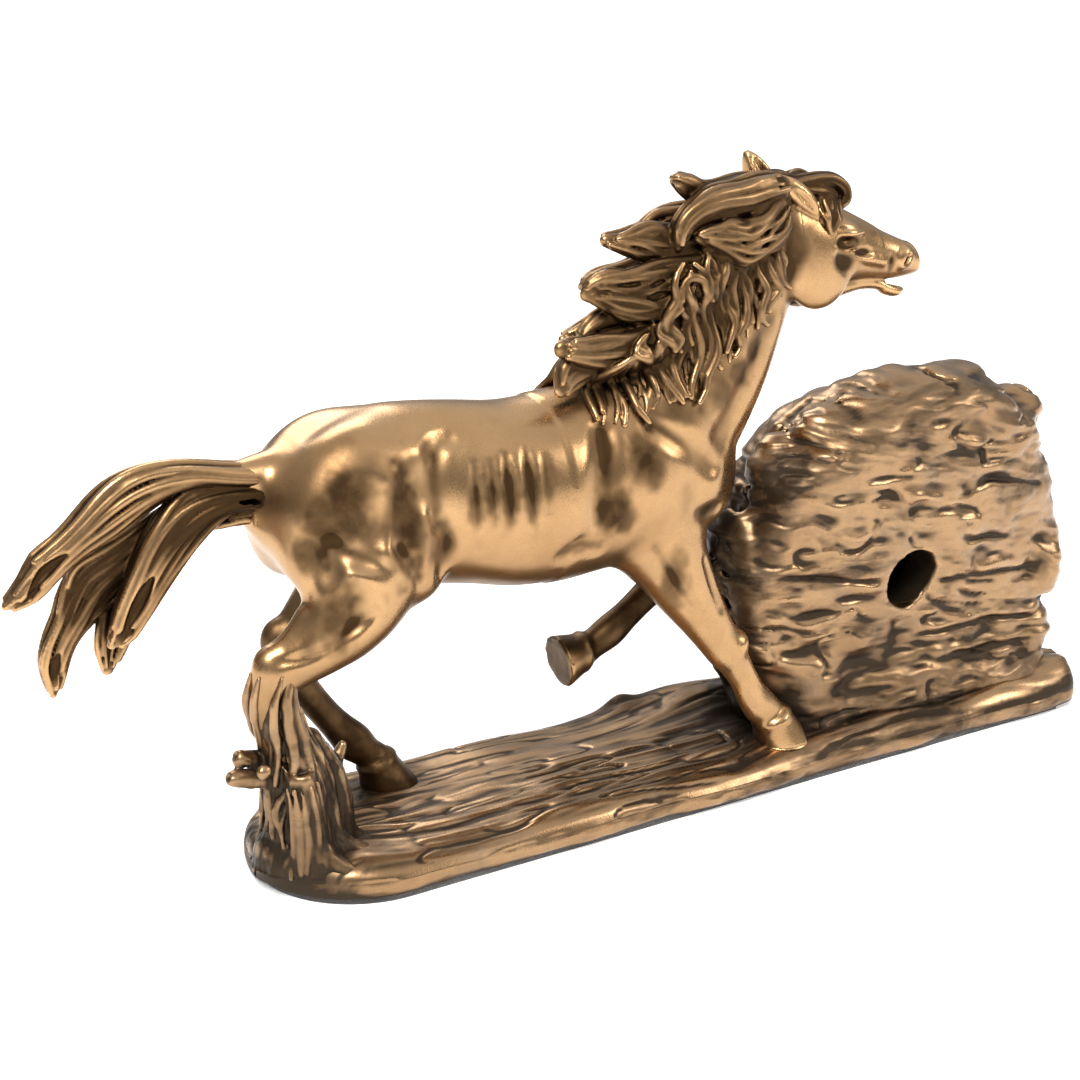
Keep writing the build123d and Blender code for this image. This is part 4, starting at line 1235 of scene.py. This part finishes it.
def slab_quads(rows, ring):
    """Faces between the slab's cross-sections, and across its two ends."""
    index = np.arange(rows * ring).reshape(rows, ring)
    a, b = index[:-1], index[1:]
    quads = np.stack((a, b, np.roll(b, -1, 1), np.roll(a, -1, 1)), 2).reshape(-1, 4)
    ends = []
    for row, order in ((index[0], 1), (index[-1], -1)):
        for i in range(ring // 2 - 1):
            j = ring - 1 - i
            ends.append((row[i], row[i + 1], row[(j - 1) % ring], row[j])[::order])
    return np.vstack((quads, np.array(ends)))


def build_ground():
    """The slab: a grooved, rippled top that runs over its edges into a smoother rounded band."""
    # one cross-section: over the top, down the far side, under, and up the near side
    across, down, under_count = fineness(118), fineness(14), 5
    fall_away = np.linspace(0, 1, down + 2)[1:-1]
    v = np.concatenate(
        (
            np.linspace(-1, 1, across), np.ones(down), np.linspace(1, -1, under_count + 2)[1:-1],
            -np.ones(down),
        )
    )
    sunk = np.concatenate(
        (np.zeros(across), fall_away, np.ones(under_count), np.linspace(1, 0, down + 2)[1:-1])
    )
    x, reach = slab_outline()
    x = np.repeat(x[:, None], len(v), 1)
    y = v[None, :] * reach[:, None]
    z = TOP - (TOP - FOOT) * np.repeat(sunk[None, :], len(x), 0)
    on_top = np.repeat((sunk == 0)[None, :], len(x), 0)
    under = np.repeat((sunk == 1)[None, :], len(x), 0)
    # round the rim: near the edge the top falls away
    rim_width = 8.0 + 2.0 * noise(x / 19, np.sign(y), 0.0, 61)
    edge = np.clip(1 - (reach[:, None] - np.abs(y)) / rim_width, 0, 1)
    band = TOP - DROP * 0.86 - FOOT
    z = np.where(
        on_top, z - DROP * (1 - np.sqrt(1 - 0.98 * edge**2)), FOOT + (z - FOOT) * band / (TOP - FOOT),
    )
    # the band round the side, with its own ripples
    fall = np.clip((z - FOOT) / band, 0, 1)
    belly = np.where(~on_top, 0.5 * np.sin(math.pi * fall) - 0.5 * (1 - fall) ** 2, 0)
    rim = 0.5 * noise(x / 12, z / 3.4, 2.0 + np.sign(y), 58) + 0.22 * noise(
        x / 4.5, z / 1.7, 4.0 + np.sign(y), 59,
    )
    wave = 0.8 * noise(x / 27, np.sign(y) + 0.3, 0.0, 62)
    push = np.where(on_top | under, 0, belly + wave + rim * (1 - 0.2 * fall))
    outward = np.sign(v)[None, :] * np.ones_like(x)
    lift = np.where(on_top, grain_height(x, y) * (1 - 0.75 * edge**4), 0)
    moved_y = y + np.where(on_top | under, wave * (np.abs(y) / HALF_DEPTH) ** 3, push) * outward
    points = np.stack((x, moved_y, z + lift), 2).reshape(-1, 3)
    relief = np.where(on_top, lift, push)
    fine, broad = (averaged(relief, 2) - relief) / 0.5, (averaged(relief, 7) - relief) / 1.2
    hollows = {"fine": fine.ravel(), "broad": broad.ravel()}
    return make_object("ground_slab", points, slab_quads(*x.shape), hollows)


ground = build_ground()
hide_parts("base")


# ---------------------------------------------------------------- patina and painted shade
def add_occlusion_shade_and_patches(pieces, fields, reach=7.5, stand_off=4.0):
    """Gives each casting's points the share of solid around them, which the materials use as painted
    occlusion shade, and their dark patches.
    """
    step = 2.5
    low = np.array((-195.0, -37.5, -5.0))
    shape = (135, 30, 74)
    points = low + step * np.indices(shape).reshape(3, -1).T
    solid = (points[:, 2] < TOP) & (np.abs(points[:, 1]) < HALF_DEPTH) & (np.abs(points[:, 0]) < RIGHT)
    for field in fields:
        place = np.round((points - field.low) / field.step).astype(int)
        inside = ((place >= 0) & (place < field.count)).all(1)
        solid[inside] |= field.value[tuple(place[inside].T)] < 0
    crowd = Field(low, low + step * (np.array(shape) - 1), step)
    crowd.value = solid.reshape(shape).astype(np.float32)
    thick = crowd.blur(reach)
    for obj, patina_and_shade in pieces:
        count = len(obj.data.vertices)
        places, normals = np.empty(count * 3, np.float32), np.empty(count * 3, np.float32)
        obj.data.vertices.foreach_get("co", places)
        obj.data.vertices.foreach_get("normal", normals)
        places, normals = places.reshape(-1, 3) / MM, normals.reshape(-1, 3)
        value = crowd.sample(thick, places + stand_off * normals)
        # the share of solid, painted as shade where the pieces crowd each other
        add_attribute(obj.data, "occlusion_shade", value)
        # dark patches per piece: patina, and painted shade and reflection
        add_attribute(obj.data, "patina_and_shade", patina_and_shade(places, normals))


def no_patches(p, normal):
    """Hair has no dark patches beyond its own hollows."""
    return np.zeros(len(p))


# dark patches: patina in the hollows, partly a painted reflection of a dark surround, and on the neck a
# painted shadow of the mane: x, z, half width, half height, strength
PATINA_AND_SHADE_PATCHES = (
    (-107, 98, 7.4, 10.5, 0.9), (-113, 93.5, 7, 8.5, 0.85), (-94, 92, 5.4, 12, 0.95),
    (-116.5, 86, 5.6, 6.2, 0.85), (-110.8, 72, 6.2, 7.2, 0.85), (-106, 84.5, 5, 2.4, 0.5),
    (-84.3, 100, 2.4, 8, 0.6), (-85.5, 83, 2.2, 6, 0.5), (-28.4, 98.4, 4.6, 7.4, 0.85),
    (-25.4, 94.2, 4.2, 4.2, 0.75), (-37.2, 85.4, 5.4, 6.0, 0.9), (-33.8, 82.0, 4.4, 4.8, 0.8),
    (-38.4, 98, 2.8, 9, 0.75), (-16, 108, 7, 3.2, 0.8), (-121, 90, 2.6, 12, 0.8), (-119, 70, 2.2, 9, 0.8),
    (-74.8, 93, 1.9, 5.5, 0.75), (-70.6, 93.3, 1.9, 5.5, 0.85), (-66.5, 93.6, 2.2, 6.8, 0.9),
    (-60.8, 93.6, 2.2, 7.6, 0.9), (-56.4, 94.5, 1.5, 5, 0.6), (-18.5, 63, 3.2, 9, 0.7),
    (22.5, 143, 3.6, 8, 0.7), (39.6, 138.4, 3.6, 2.4, 0.85), (39.8, 143.8, 4.4, 1.5, 0.85),
    (45.8, 140.7, 3.0, 1.1, 0.85), (50.5, 144.8, 1.8, 1.0, 0.6), (61.6, 137.2, 0.9, 2.0, 0.8),
    (56.8, 136.4, 1.1, 3.0, 0.75), (-46.5, 77, 5, 2, 0.5), (-2, 110, 4.5, 4.2, 0.8),
    (3, 114.5, 4.2, 4.5, 0.8), (8.5, 119.5, 3.2, 4.8, 0.75),
)


def horse_patina_and_shade(p, normal):
    """Dark patches in the muscles' hollows, patina with painted reflection and shadow; painted shade on
    the far legs and on faces that point down; the near hind foot darker.
    """
    x, y, z = p.T
    ragged = 1 + 0.4 * noise(x / 5, y / 5, z / 5, 71) + 0.2 * noise(x / 1.7, y / 1.7, z / 1.7, 72)
    patina_and_shade = np.zeros(len(p))
    for cx, cz, wide, high, strength in PATINA_AND_SHADE_PATCHES:
        gap = np.sqrt(((x - cx) / wide) ** 2 + ((z - cz) / high) ** 2) * ragged
        share = np.clip((1.45 - gap) / 1.05, 0, 1)
        patina_and_shade = np.maximum(patina_and_shade, strength * share**2 * (3 - 2 * share))
    patina_and_shade = patina_and_shade * np.clip(np.abs(normal[:, 1]) * 2 - 0.5, 0, 1)
    # painted shade on the far legs, and on the raised far foreleg
    far = np.clip((y - 1.5) / 3, 0, 1) * np.clip((70 - z) / 12, 0, 1) * 0.9
    raised = np.clip((z - 36 - 0.4 * (x + 45)) / 3 + 1, 0, 1) * np.clip((61 - z) / 4, 0, 1)
    raised = raised * np.clip((x + 45.5) / 6, 0.1, 1) * (y > -10)
    far = np.where(x > -60, np.maximum(far, raised), far)
    foot = np.clip((60 - z) / 12, 0, 1) * (x < -100) * (y < 2) * 0.55
    # painted shade on faces that point down
    under = np.clip(-normal[:, 2] - 0.25, 0, 1) * 0.5
    return np.maximum.reduce((patina_and_shade, far, foot, under))


def stump_darkening(p, normal):
    """Dark all over, and darker towards the ground."""
    return np.full(len(p), 0.25) + 0.25 * np.clip((40 - p[:, 2]) / 20, 0, 1) * (p[:, 2] < 30)


def log_stain(p, normal):
    """The wall that faces the horse is nearly black, and so is the clock's bore."""
    x, y, z = p.T
    wall = np.clip((-normal[:, 0] - 0.3) / 0.4, 0, 1) * np.clip((96 - z) / 14, 0, 1)
    inside = np.hypot(x - LOG[0], z - LOG[2]) < BORE + 1
    by_hole = (normal[:, 1] > -0.3) & (np.hypot(x - HOLE_X, z - LOG[2]) < HOLE + 3)
    bore = inside & ((y > -12) | by_hole)
    low = 0.35 * np.clip((42 - z) / 24, 0, 1)
    return np.maximum.reduce((0.75 * wall, low, bore))


def ground_contact_shade(p, normal):
    """Painted contact shade round the stump, the hooves and the foot of the log, and darker towards the
    far side.
    """
    patina_and_shade = np.zeros(len(p))
    spots = (
        (-119, -7, 15, 0.7), (-84, 15, 12, 0.6), (14, -14, 11, 0.7), (12, 4, 16, 0.8),
        (-100, 12, 14, 0.5),
    )
    for x, y, size, strength in spots:
        gap = ((p[:, 0] - x) / size) ** 2 + ((p[:, 1] - y) / (0.75 * size)) ** 2
        patina_and_shade = np.maximum(patina_and_shade, strength * np.exp(-gap))
    return patina_and_shade + 0.12 * np.clip((p[:, 1] + 5) / 20, 0, 1)


add_occlusion_shade_and_patches(
    (
        (horse, horse_patina_and_shade), (horse_head, horse_patina_and_shade), (tail, no_patches), (mane, no_patches),
        (forelock, no_patches), (stump, stump_darkening), (log_back, log_stain), (log_front, log_stain),
        (ground, ground_contact_shade),
    ),
    (
        body_field, head_field, tail_field, mane_field, forelock_field, stump_field, back_field,
        front_field,
    ),
)


# ---------------------------------------------------------------- materials
class Nodes:
    """A new node material, with short ways to add and join its nodes."""

    def __init__(self, name):
        self.material = bpy.data.materials.new(name)
        self.material.use_nodes = True
        self.tree = self.material.node_tree
        self.shader = self.tree.nodes["Principled BSDF"]
        self.place = self.add("ShaderNodeTexCoord").outputs["Object"]

    def add(self, kind, **settings):
        node = self.tree.nodes.new(kind)
        for key, value in settings.items():
            if key in node.inputs:
                node.inputs[key].default_value = value
            else:
                setattr(node, key, value)
        return node

    def join(self, value, socket):
        """Feeds a socket from another socket or from a number or colour."""
        if isinstance(value, (tuple, list, float, int)):
            socket.default_value = value
        else:
            self.tree.links.new(value, socket)

    def set(self, **inputs):
        """Sets the shader's inputs by name, with _ for a space."""
        for key, value in inputs.items():
            self.join(value, self.shader.inputs[key.replace("_", " ")])

    def mix(self, factor, low, high):
        node = self.add("ShaderNodeMix", data_type="RGBA")
        for index, value in ((0, factor), (6, low), (7, high)):
            self.join(value, node.inputs[index])
        return node.outputs[2]

    def maths(self, operation, first, second=0.0, clamp=False):
        node = self.add("ShaderNodeMath", operation=operation, use_clamp=clamp)
        self.join(first, node.inputs[0])
        self.join(second, node.inputs[1])
        return node.outputs[0]

    def remap(self, value, low, high, to_low=0.0, to_high=1.0):
        node = self.add("ShaderNodeMapRange")
        self.join(value, node.inputs[0])
        for index, number in enumerate((low, high, to_low, to_high), start=1):
            node.inputs[index].default_value = number
        return node.outputs[0]

    def stretched(self, scale):
        """Object coordinates stretched along the axes."""
        node = self.add("ShaderNodeMapping", Scale=scale)
        self.join(self.place, node.inputs["Vector"])
        return node.outputs["Vector"]

    def noise(self, scale, detail=3.0, rough=0.55, where=None, distortion=0.0):
        node = self.add(
            "ShaderNodeTexNoise", Scale=scale, Detail=detail, Roughness=rough, Distortion=distortion,
        )
        self.join(where or self.place, node.inputs["Vector"])
        return node.outputs["Fac"]

    def attribute(self, name):
        return self.add("ShaderNodeAttribute", attribute_name=name).outputs["Fac"]

    def bump(self, height, strength, distance):
        node = self.add("ShaderNodeBump", Strength=strength, Distance=distance)
        self.join(height, node.inputs["Height"])
        self.join(node.outputs["Normal"], self.shader.inputs["Normal"])


def shade(colour, *factors):
    """A colour with each part scaled, by one factor or by three."""
    return [min(c * f, 1) for c, f in zip(colour[:3], factors * (3 // len(factors)))] + [1]


def bronze(name, light, dark, fine_range, broad_range, smoke, streaks=0.0, shine=1.0):
    """Wiped bronze: bright where a cloth reaches, with brown-black patina left in the hollows. The same
    dark colour is laid as painted shade where the pieces crowd each other and in the patches that stand
    for shade or reflection, and ridges are lightened partly as a painted highlight.

    The ranges say how hollow a place is where patina starts and where it covers. smoke is how much
    thin grey patina lies over the open metal, and shine how metallic the full patina is.
    """
    n = Nodes(name)
    cloud = n.noise(38.0, 4.0, 0.62)
    cloud_small = n.noise(150.0, 4.0, 0.6, distortion=0.4)
    speck = n.noise(1500.0, 3.0, 0.6)
    wobble = n.maths("MULTIPLY", n.maths("SUBTRACT", n.maths("ADD", cloud, cloud_small), 1.0), 0.5)
    hollow = n.maths(
        "ADD", n.remap(n.attribute("fine"), *fine_range, 0.0, 0.75),
        n.remap(n.attribute("broad"), *broad_range, 0.0, 0.8),
    )
    # painted occlusion shade: darker where the pieces crowd each other
    hollow = n.maths("ADD", hollow, n.remap(n.attribute("occlusion_shade"), 0.36, 0.6, 0.0, 0.75))
    # dark patches: patina, and painted shade, shadow and reflection
    hollow = n.maths("ADD", hollow, n.attribute("patina_and_shade"))
    if streaks:
        smear = n.noise(60.0, 5.0, 0.62, where=n.stretched((0.34, 0.6, 1.0)), distortion=0.5)
        hollow = n.maths("ADD", hollow, n.remap(smear, 0.53, 0.64, 0.0, streaks))
    # how far the colour goes to the dark one: patina and painted shade together
    patina_and_shade_cover = n.maths(
        "ADD", hollow, n.maths("MULTIPLY", wobble, n.remap(hollow, 0.02, 0.3, 0.25, 1.0)), clamp=True,
    )
    film = n.maths("MULTIPLY", n.remap(n.noise(60.0, 5.0, 0.7, distortion=0.8), 0.5, 0.68), smoke)
    # ridges lighter: rubbed wear and a painted highlight
    worn_and_highlit = n.remap(n.attribute("fine"), -0.12, -0.5)
    tone = n.mix(n.remap(cloud, 0.38, 0.62), light, shade(light, 0.86, 0.83, 0.8))
    tone = n.mix(n.maths("MULTIPLY", worn_and_highlit, 0.55), tone, shade(light, 1.5))
    tone = n.mix(film, tone, (0.16, 0.125, 0.095, 1))
    colour, metallic = n.mix(patina_and_shade_cover, tone, dark), n.remap(patina_and_shade_cover, 0.0, 1.0, 1.0, shine)
    gloss = n.maths("ADD", n.remap(patina_and_shade_cover, 0.0, 1.0, 0.27, 0.5), n.maths("MULTIPLY", film, 0.25))
    n.set(
        Base_Color=colour, Metallic=metallic,
        Roughness=n.maths("ADD", gloss, n.maths("MULTIPLY", n.maths("SUBTRACT", speck, 0.5), 0.1)),
    )
    n.bump(n.maths("ADD", speck, n.maths("MULTIPLY", cloud_small, 0.8)), 0.1, 0.00025)
    return n.material


def plastic(name, colour, roughness=0.42, grain=2600.0, depth=0.12, through=0.0):
    """Moulded plastic: a fine spark-eroded grain, faint flow marks and slightly uneven gloss."""
    n = Nodes(name)
    flow = n.noise(70.0, 2.0, 0.5)
    fine = n.noise(grain, 2.0, 0.5)
    n.set(
        Base_Color=n.mix(n.remap(flow, 0.3, 0.7), colour, shade(colour, 0.82)),
        Roughness=n.remap(n.maths("ADD", flow, fine), 0.6, 1.4, roughness - 0.07, roughness + 0.09),
        Subsurface_Weight=through, Subsurface_Scale=0.002,
    )
    n.bump(fine, depth, 0.00015)
    return n.material


def metal(name, colour, roughness=0.28, stretch=(1, 1, 1), grain=900.0, wear=0.25):
    """Worked metal: brushing drawn out along one way, with tarnish clouds."""
    n = Nodes(name)
    brush = n.noise(grain, 3.0, 0.6, where=n.stretched(stretch))
    tarnish = n.remap(n.noise(110.0, 4.0, 0.6), 0.45, 0.75)
    tone = n.mix(n.maths("MULTIPLY", tarnish, wear), colour, shade(colour, 0.45))
    gloss = n.remap(brush, 0.3, 0.7, roughness - 0.08, roughness + 0.1)
    n.set(
        Base_Color=tone, Metallic=1.0,
        Roughness=n.maths("ADD", gloss, n.maths("MULTIPLY", tarnish, 0.12)),
    )
    n.bump(brush, 0.08, 0.0001)
    return n.material


def felt():
    """Dark wool felt: matted fibres of a few shades, with a soft nap."""
    n = Nodes("felt_pad")
    matt = n.noise(700.0, 6.0, 0.75, distortion=1.5)
    fibre = n.noise(2200.0, 4.0, 0.7, where=n.stretched((1, 1, 3)), distortion=2.0)
    n.set(
        Base_Color=n.mix(n.remap(matt, 0.35, 0.65), (0.012, 0.011, 0.010, 1), (0.05, 0.045, 0.04, 1)),
        Roughness=0.95, Sheen_Weight=0.6, Sheen_Roughness=0.5,
    )
    n.bump(n.maths("ADD", matt, fibre), 0.8, 0.0006)
    return n.material


def clear(name, tint, roughness, ripple):
    """Glass or clear rubber, with faint smears in its polish."""
    n = Nodes(name)
    smear = n.noise(90.0, 4.0, 0.6, distortion=1.0)
    n.set(
        Base_Color=tint, Transmission_Weight=1.0, IOR=1.47,
        Roughness=n.remap(smear, 0.4, 0.75, roughness, roughness + 0.06),
    )
    n.bump(n.noise(300.0, 2.0), ripple, 0.0001)
    return n.material


def dial_card():
    """Ivory dial stock: paper tooth and a soft warm clouding."""
    n = Nodes("dial_card")
    tooth = n.noise(3200.0, 4.0, 0.6)
    age = n.noise(45.0, 3.0, 0.5)
    n.set(
        Base_Color=n.mix(n.remap(age, 0.35, 0.7), (0.83, 0.78, 0.66, 1), (0.74, 0.67, 0.53, 1)),
        Roughness=n.remap(tooth, 0.3, 0.7, 0.5, 0.68),
    )
    n.bump(tooth, 0.15, 0.0001)
    return n.material


def winding():
    """Enamelled copper wire, wound in close turns."""
    n = Nodes("copper_winding")
    turns = n.add("ShaderNodeTexWave", Scale=1400.0, Distortion=0.6, Detail=1.0, bands_direction="X")
    n.join(n.place, turns.inputs["Vector"])
    n.set(
        Base_Color=n.mix(turns.outputs["Fac"], (0.30, 0.08, 0.03, 1), (0.78, 0.34, 0.16, 1)),
        Metallic=0.85, Roughness=n.remap(n.noise(600.0), 0.3, 0.7, 0.22, 0.38),
    )
    n.bump(turns.outputs["Fac"], 0.5, 0.0001)
    return n.material


def circuit():
    """Green solder mask over copper tracks, which stand up a little."""
    n = Nodes("circuit_green")
    cells = n.add("ShaderNodeTexBrick", Scale=320.0)
    n.join(n.stretched((1, 1, 1)), cells.inputs["Vector"])
    track = n.maths("GREATER_THAN", n.noise(260.0, 0.0, 0.5), 0.56)
    n.set(
        Base_Color=n.mix(track, (0.012, 0.10, 0.045, 1), (0.03, 0.22, 0.09, 1)),
        Roughness=n.remap(cells.outputs["Fac"], 0.0, 1.0, 0.3, 0.42),
    )
    n.bump(track, 0.3, 0.0001)
    return n.material


LIGHT_BRONZE = (0.42, 0.258, 0.126, 1)
HAIR_BRONZE = (0.36, 0.22, 0.107, 1)
BARK_BRONZE = (0.33, 0.207, 0.110, 1)
# dark colours for the patina and for painted shade
DARK_PATINA_AND_SHADE = (0.046, 0.0255, 0.0112, 1)
BARK_PATINA_AND_SHADE = (0.040, 0.027, 0.0165, 1)
horse_bronze = bronze("horse_bronze", LIGHT_BRONZE, DARK_PATINA_AND_SHADE, (0.05, 0.3), (0.05, 0.34), 0.15)
hair_bronze = bronze("hair_bronze", HAIR_BRONZE, DARK_PATINA_AND_SHADE, (-0.4, 0.02), (-0.46, 0.06), 0.2)
bark_bronze = bronze("bark_bronze", BARK_BRONZE, BARK_PATINA_AND_SHADE, (0.0, 0.24), (0.03, 0.32), 0.5, 0.75, 0.9)
stump_bronze = bronze("stump_bronze", BARK_BRONZE, BARK_PATINA_AND_SHADE, (-0.2, 0.18), (-0.2, 0.2), 0.5, 0.4, 0.9)


def dress(obj, made):
    """Gives an object one material in every slot."""
    if not obj.data.materials:
        obj.data.materials.append(made)
    for index in range(len(obj.data.materials)):
        obj.data.materials[index] = made


for pieces, made in (
    ((horse, horse_head), horse_bronze), ((tail, mane, forelock), hair_bronze), ((stump,), stump_bronze),
    ((log_back, log_front, ground), bark_bronze),
):
    for piece in pieces:
        dress(piece, made)

BLACK_PLASTIC = plastic("black_plastic", (0.022, 0.022, 0.024, 1))
GEAR_PLASTIC = plastic("gear_plastic", (0.80, 0.78, 0.72, 1), roughness=0.35, through=0.15)
HAND_BLACK = plastic("hand_black", (0.012, 0.012, 0.013, 1), roughness=0.3, depth=0.05)
finishes = {
    "felt_pad": felt(),
    "hoof_pins": metal("pin_steel", (0.55, 0.55, 0.56, 1), stretch=(8, 8, 1)),
    "insert_can": BLACK_PLASTIC,
    "gasket_band": clear("clear_rubber", (0.93, 0.94, 0.92, 1), 0.25, 0.15),
    "bezel": metal("bezel_brass", (0.83, 0.60, 0.26, 1), 0.2, (1, 6, 1), grain=700.0, wear=0.2),
    "lens": clear("lens_glass", (1, 1, 1, 1), 0.0, 0.0),
    "dial": dial_card(),
    "spacer_ring": plastic("spacer_white", (0.85, 0.84, 0.80, 1), roughness=0.4),
    "hour_markers": plastic("dial_print", (0.015, 0.014, 0.013, 1), roughness=0.5, depth=0.04),
    "movement_case": BLACK_PLASTIC,
    "movement_cover": BLACK_PLASTIC,
    "drive_coil": winding(),
    "circuit_board": circuit(),
    "cannon_wheel": GEAR_PLASTIC,
    "hour_wheel": GEAR_PLASTIC,
    "motion_wheel": GEAR_PLASTIC,
    "setting_knob": plastic("knob_plastic", (0.10, 0.10, 0.105, 1), roughness=0.45),
    "seconds_arbor": metal("arbor_steel", (0.62, 0.62, 0.64, 1), roughness=0.2),
    "hour_hand": HAND_BLACK,
    "minute_hand": HAND_BLACK,
    "second_hand": metal("hand_brass", (0.80, 0.58, 0.25, 1), roughness=0.22),
    "battery": metal("cell_steel", (0.72, 0.72, 0.73, 1), 0.18, (1, 5, 1), wear=0.12),
    "battery_contact": metal("contact_steel", (0.66, 0.65, 0.60, 1), roughness=0.25),
    "battery_cover": plastic("cover_plastic", (0.026, 0.026, 0.028, 1), 0.5, grain=1800.0, depth=0.2),
}
for node, made in finishes.items():
    dress(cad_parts[node], made)


# ---------------------------------------------------------------- floor, light and camera
def soft_light(name, place, aim, size, watts, colour=(1, 1, 1)):
    """A square lamp that faces a point, in metres."""
    lamp = bpy.data.lights.new(name, "AREA")
    lamp.shape = "RECTANGLE"
    lamp.size = lamp.size_y = size
    lamp.energy = watts
    lamp.color = colour
    face_towards(bpy.data.objects.new(name, lamp), place, aim)


def face_towards(obj, place, aim):
    """Links an object at a place, looking at a point along its own -Z."""
    bpy.context.scene.collection.objects.link(obj)
    obj.location = place
    obj.rotation_mode = "QUATERNION"
    obj.rotation_quaternion = (Vector(aim) - Vector(place)).to_track_quat("-Z", "Y")


def build_world():
    """Surround: bright overhead, dimmer towards the horizon and towards the tail end."""
    world = bpy.data.worlds.new("surround")
    bpy.context.scene.world = world
    world.use_nodes = True
    tree = world.node_tree
    background = tree.nodes["Background"]
    split = tree.nodes.new("ShaderNodeSeparateXYZ")
    tree.links.new(tree.nodes.new("ShaderNodeTexCoord").outputs["Generated"], split.inputs[0])
    both_ways = tree.nodes.new("ShaderNodeMath")
    both_ways.operation = "MULTIPLY"
    for slot, (axis, kind, numbers) in enumerate(
        (("Z", "SMOOTHSTEP", (0.1, 0.85, 0.28, 1.05)), ("X", "LINEAR", (-1.0, 0.6, 0.6, 1.15)))
    ):
        spread = tree.nodes.new("ShaderNodeMapRange")
        spread.interpolation_type = kind
        tree.links.new(split.outputs[axis], spread.inputs[0])
        for index, number in enumerate(numbers, start=1):
            spread.inputs[index].default_value = number
        tree.links.new(spread.outputs[0], both_ways.inputs[slot])
    tree.links.new(both_ways.outputs[0], background.inputs["Strength"])
    background.inputs["Color"].default_value = (1, 1, 1, 1)


def build_stage():
    """A pale floor under soft lamps."""
    mesh = bpy.data.meshes.new("floor")
    half = 6.0
    corners = [(-half, -half, 0), (half, -half, 0), (half, half, 0), (-half, half, 0)]
    mesh.from_pydata(corners, [], [(0, 1, 2, 3)])
    floor = bpy.data.objects.new("floor", mesh)
    bpy.context.scene.collection.objects.link(floor)
    n = Nodes("floor_white")
    n.set(
        Base_Color=(0.95, 0.95, 0.95, 1), Roughness=0.85, Emission_Color=(1, 1, 1, 1),
        Emission_Strength=0.3,
    )
    dress(floor, n.material)
    build_world()
    soft_light("key", (-0.55, -0.62, 0.95), (-0.02, 0, 0.08), 0.34, 17, (1.0, 0.97, 0.93))
    soft_light("side", (0.75, -0.7, 0.55), (0.03, 0, 0.07), 0.35, 4, (1.0, 0.97, 0.93))
    soft_light("back", (0.1, 0.8, 0.8), (0, 0, 0.07), 0.6, 5)
    bpy.context.scene.view_settings.view_transform = "Standard"


def build_camera():
    """The viewpoint: above the tail end, with the back of the log in sight."""
    azimuth, elevation, distance = math.radians(-32.5), math.radians(17.75), 0.508
    target = Vector((-0.0457, 0.0, 0.0737))
    level = math.cos(elevation)
    away = (math.sin(azimuth) * level, -math.cos(azimuth) * level, math.sin(elevation))
    data = bpy.data.cameras.new("camera")
    data.lens, data.sensor_width, data.clip_start = 66.67, 36.0, 0.01
    camera = bpy.data.objects.new("camera", data)
    face_towards(camera, target + distance * Vector(away), target)
    bpy.context.scene.camera = camera


build_stage()
build_camera()
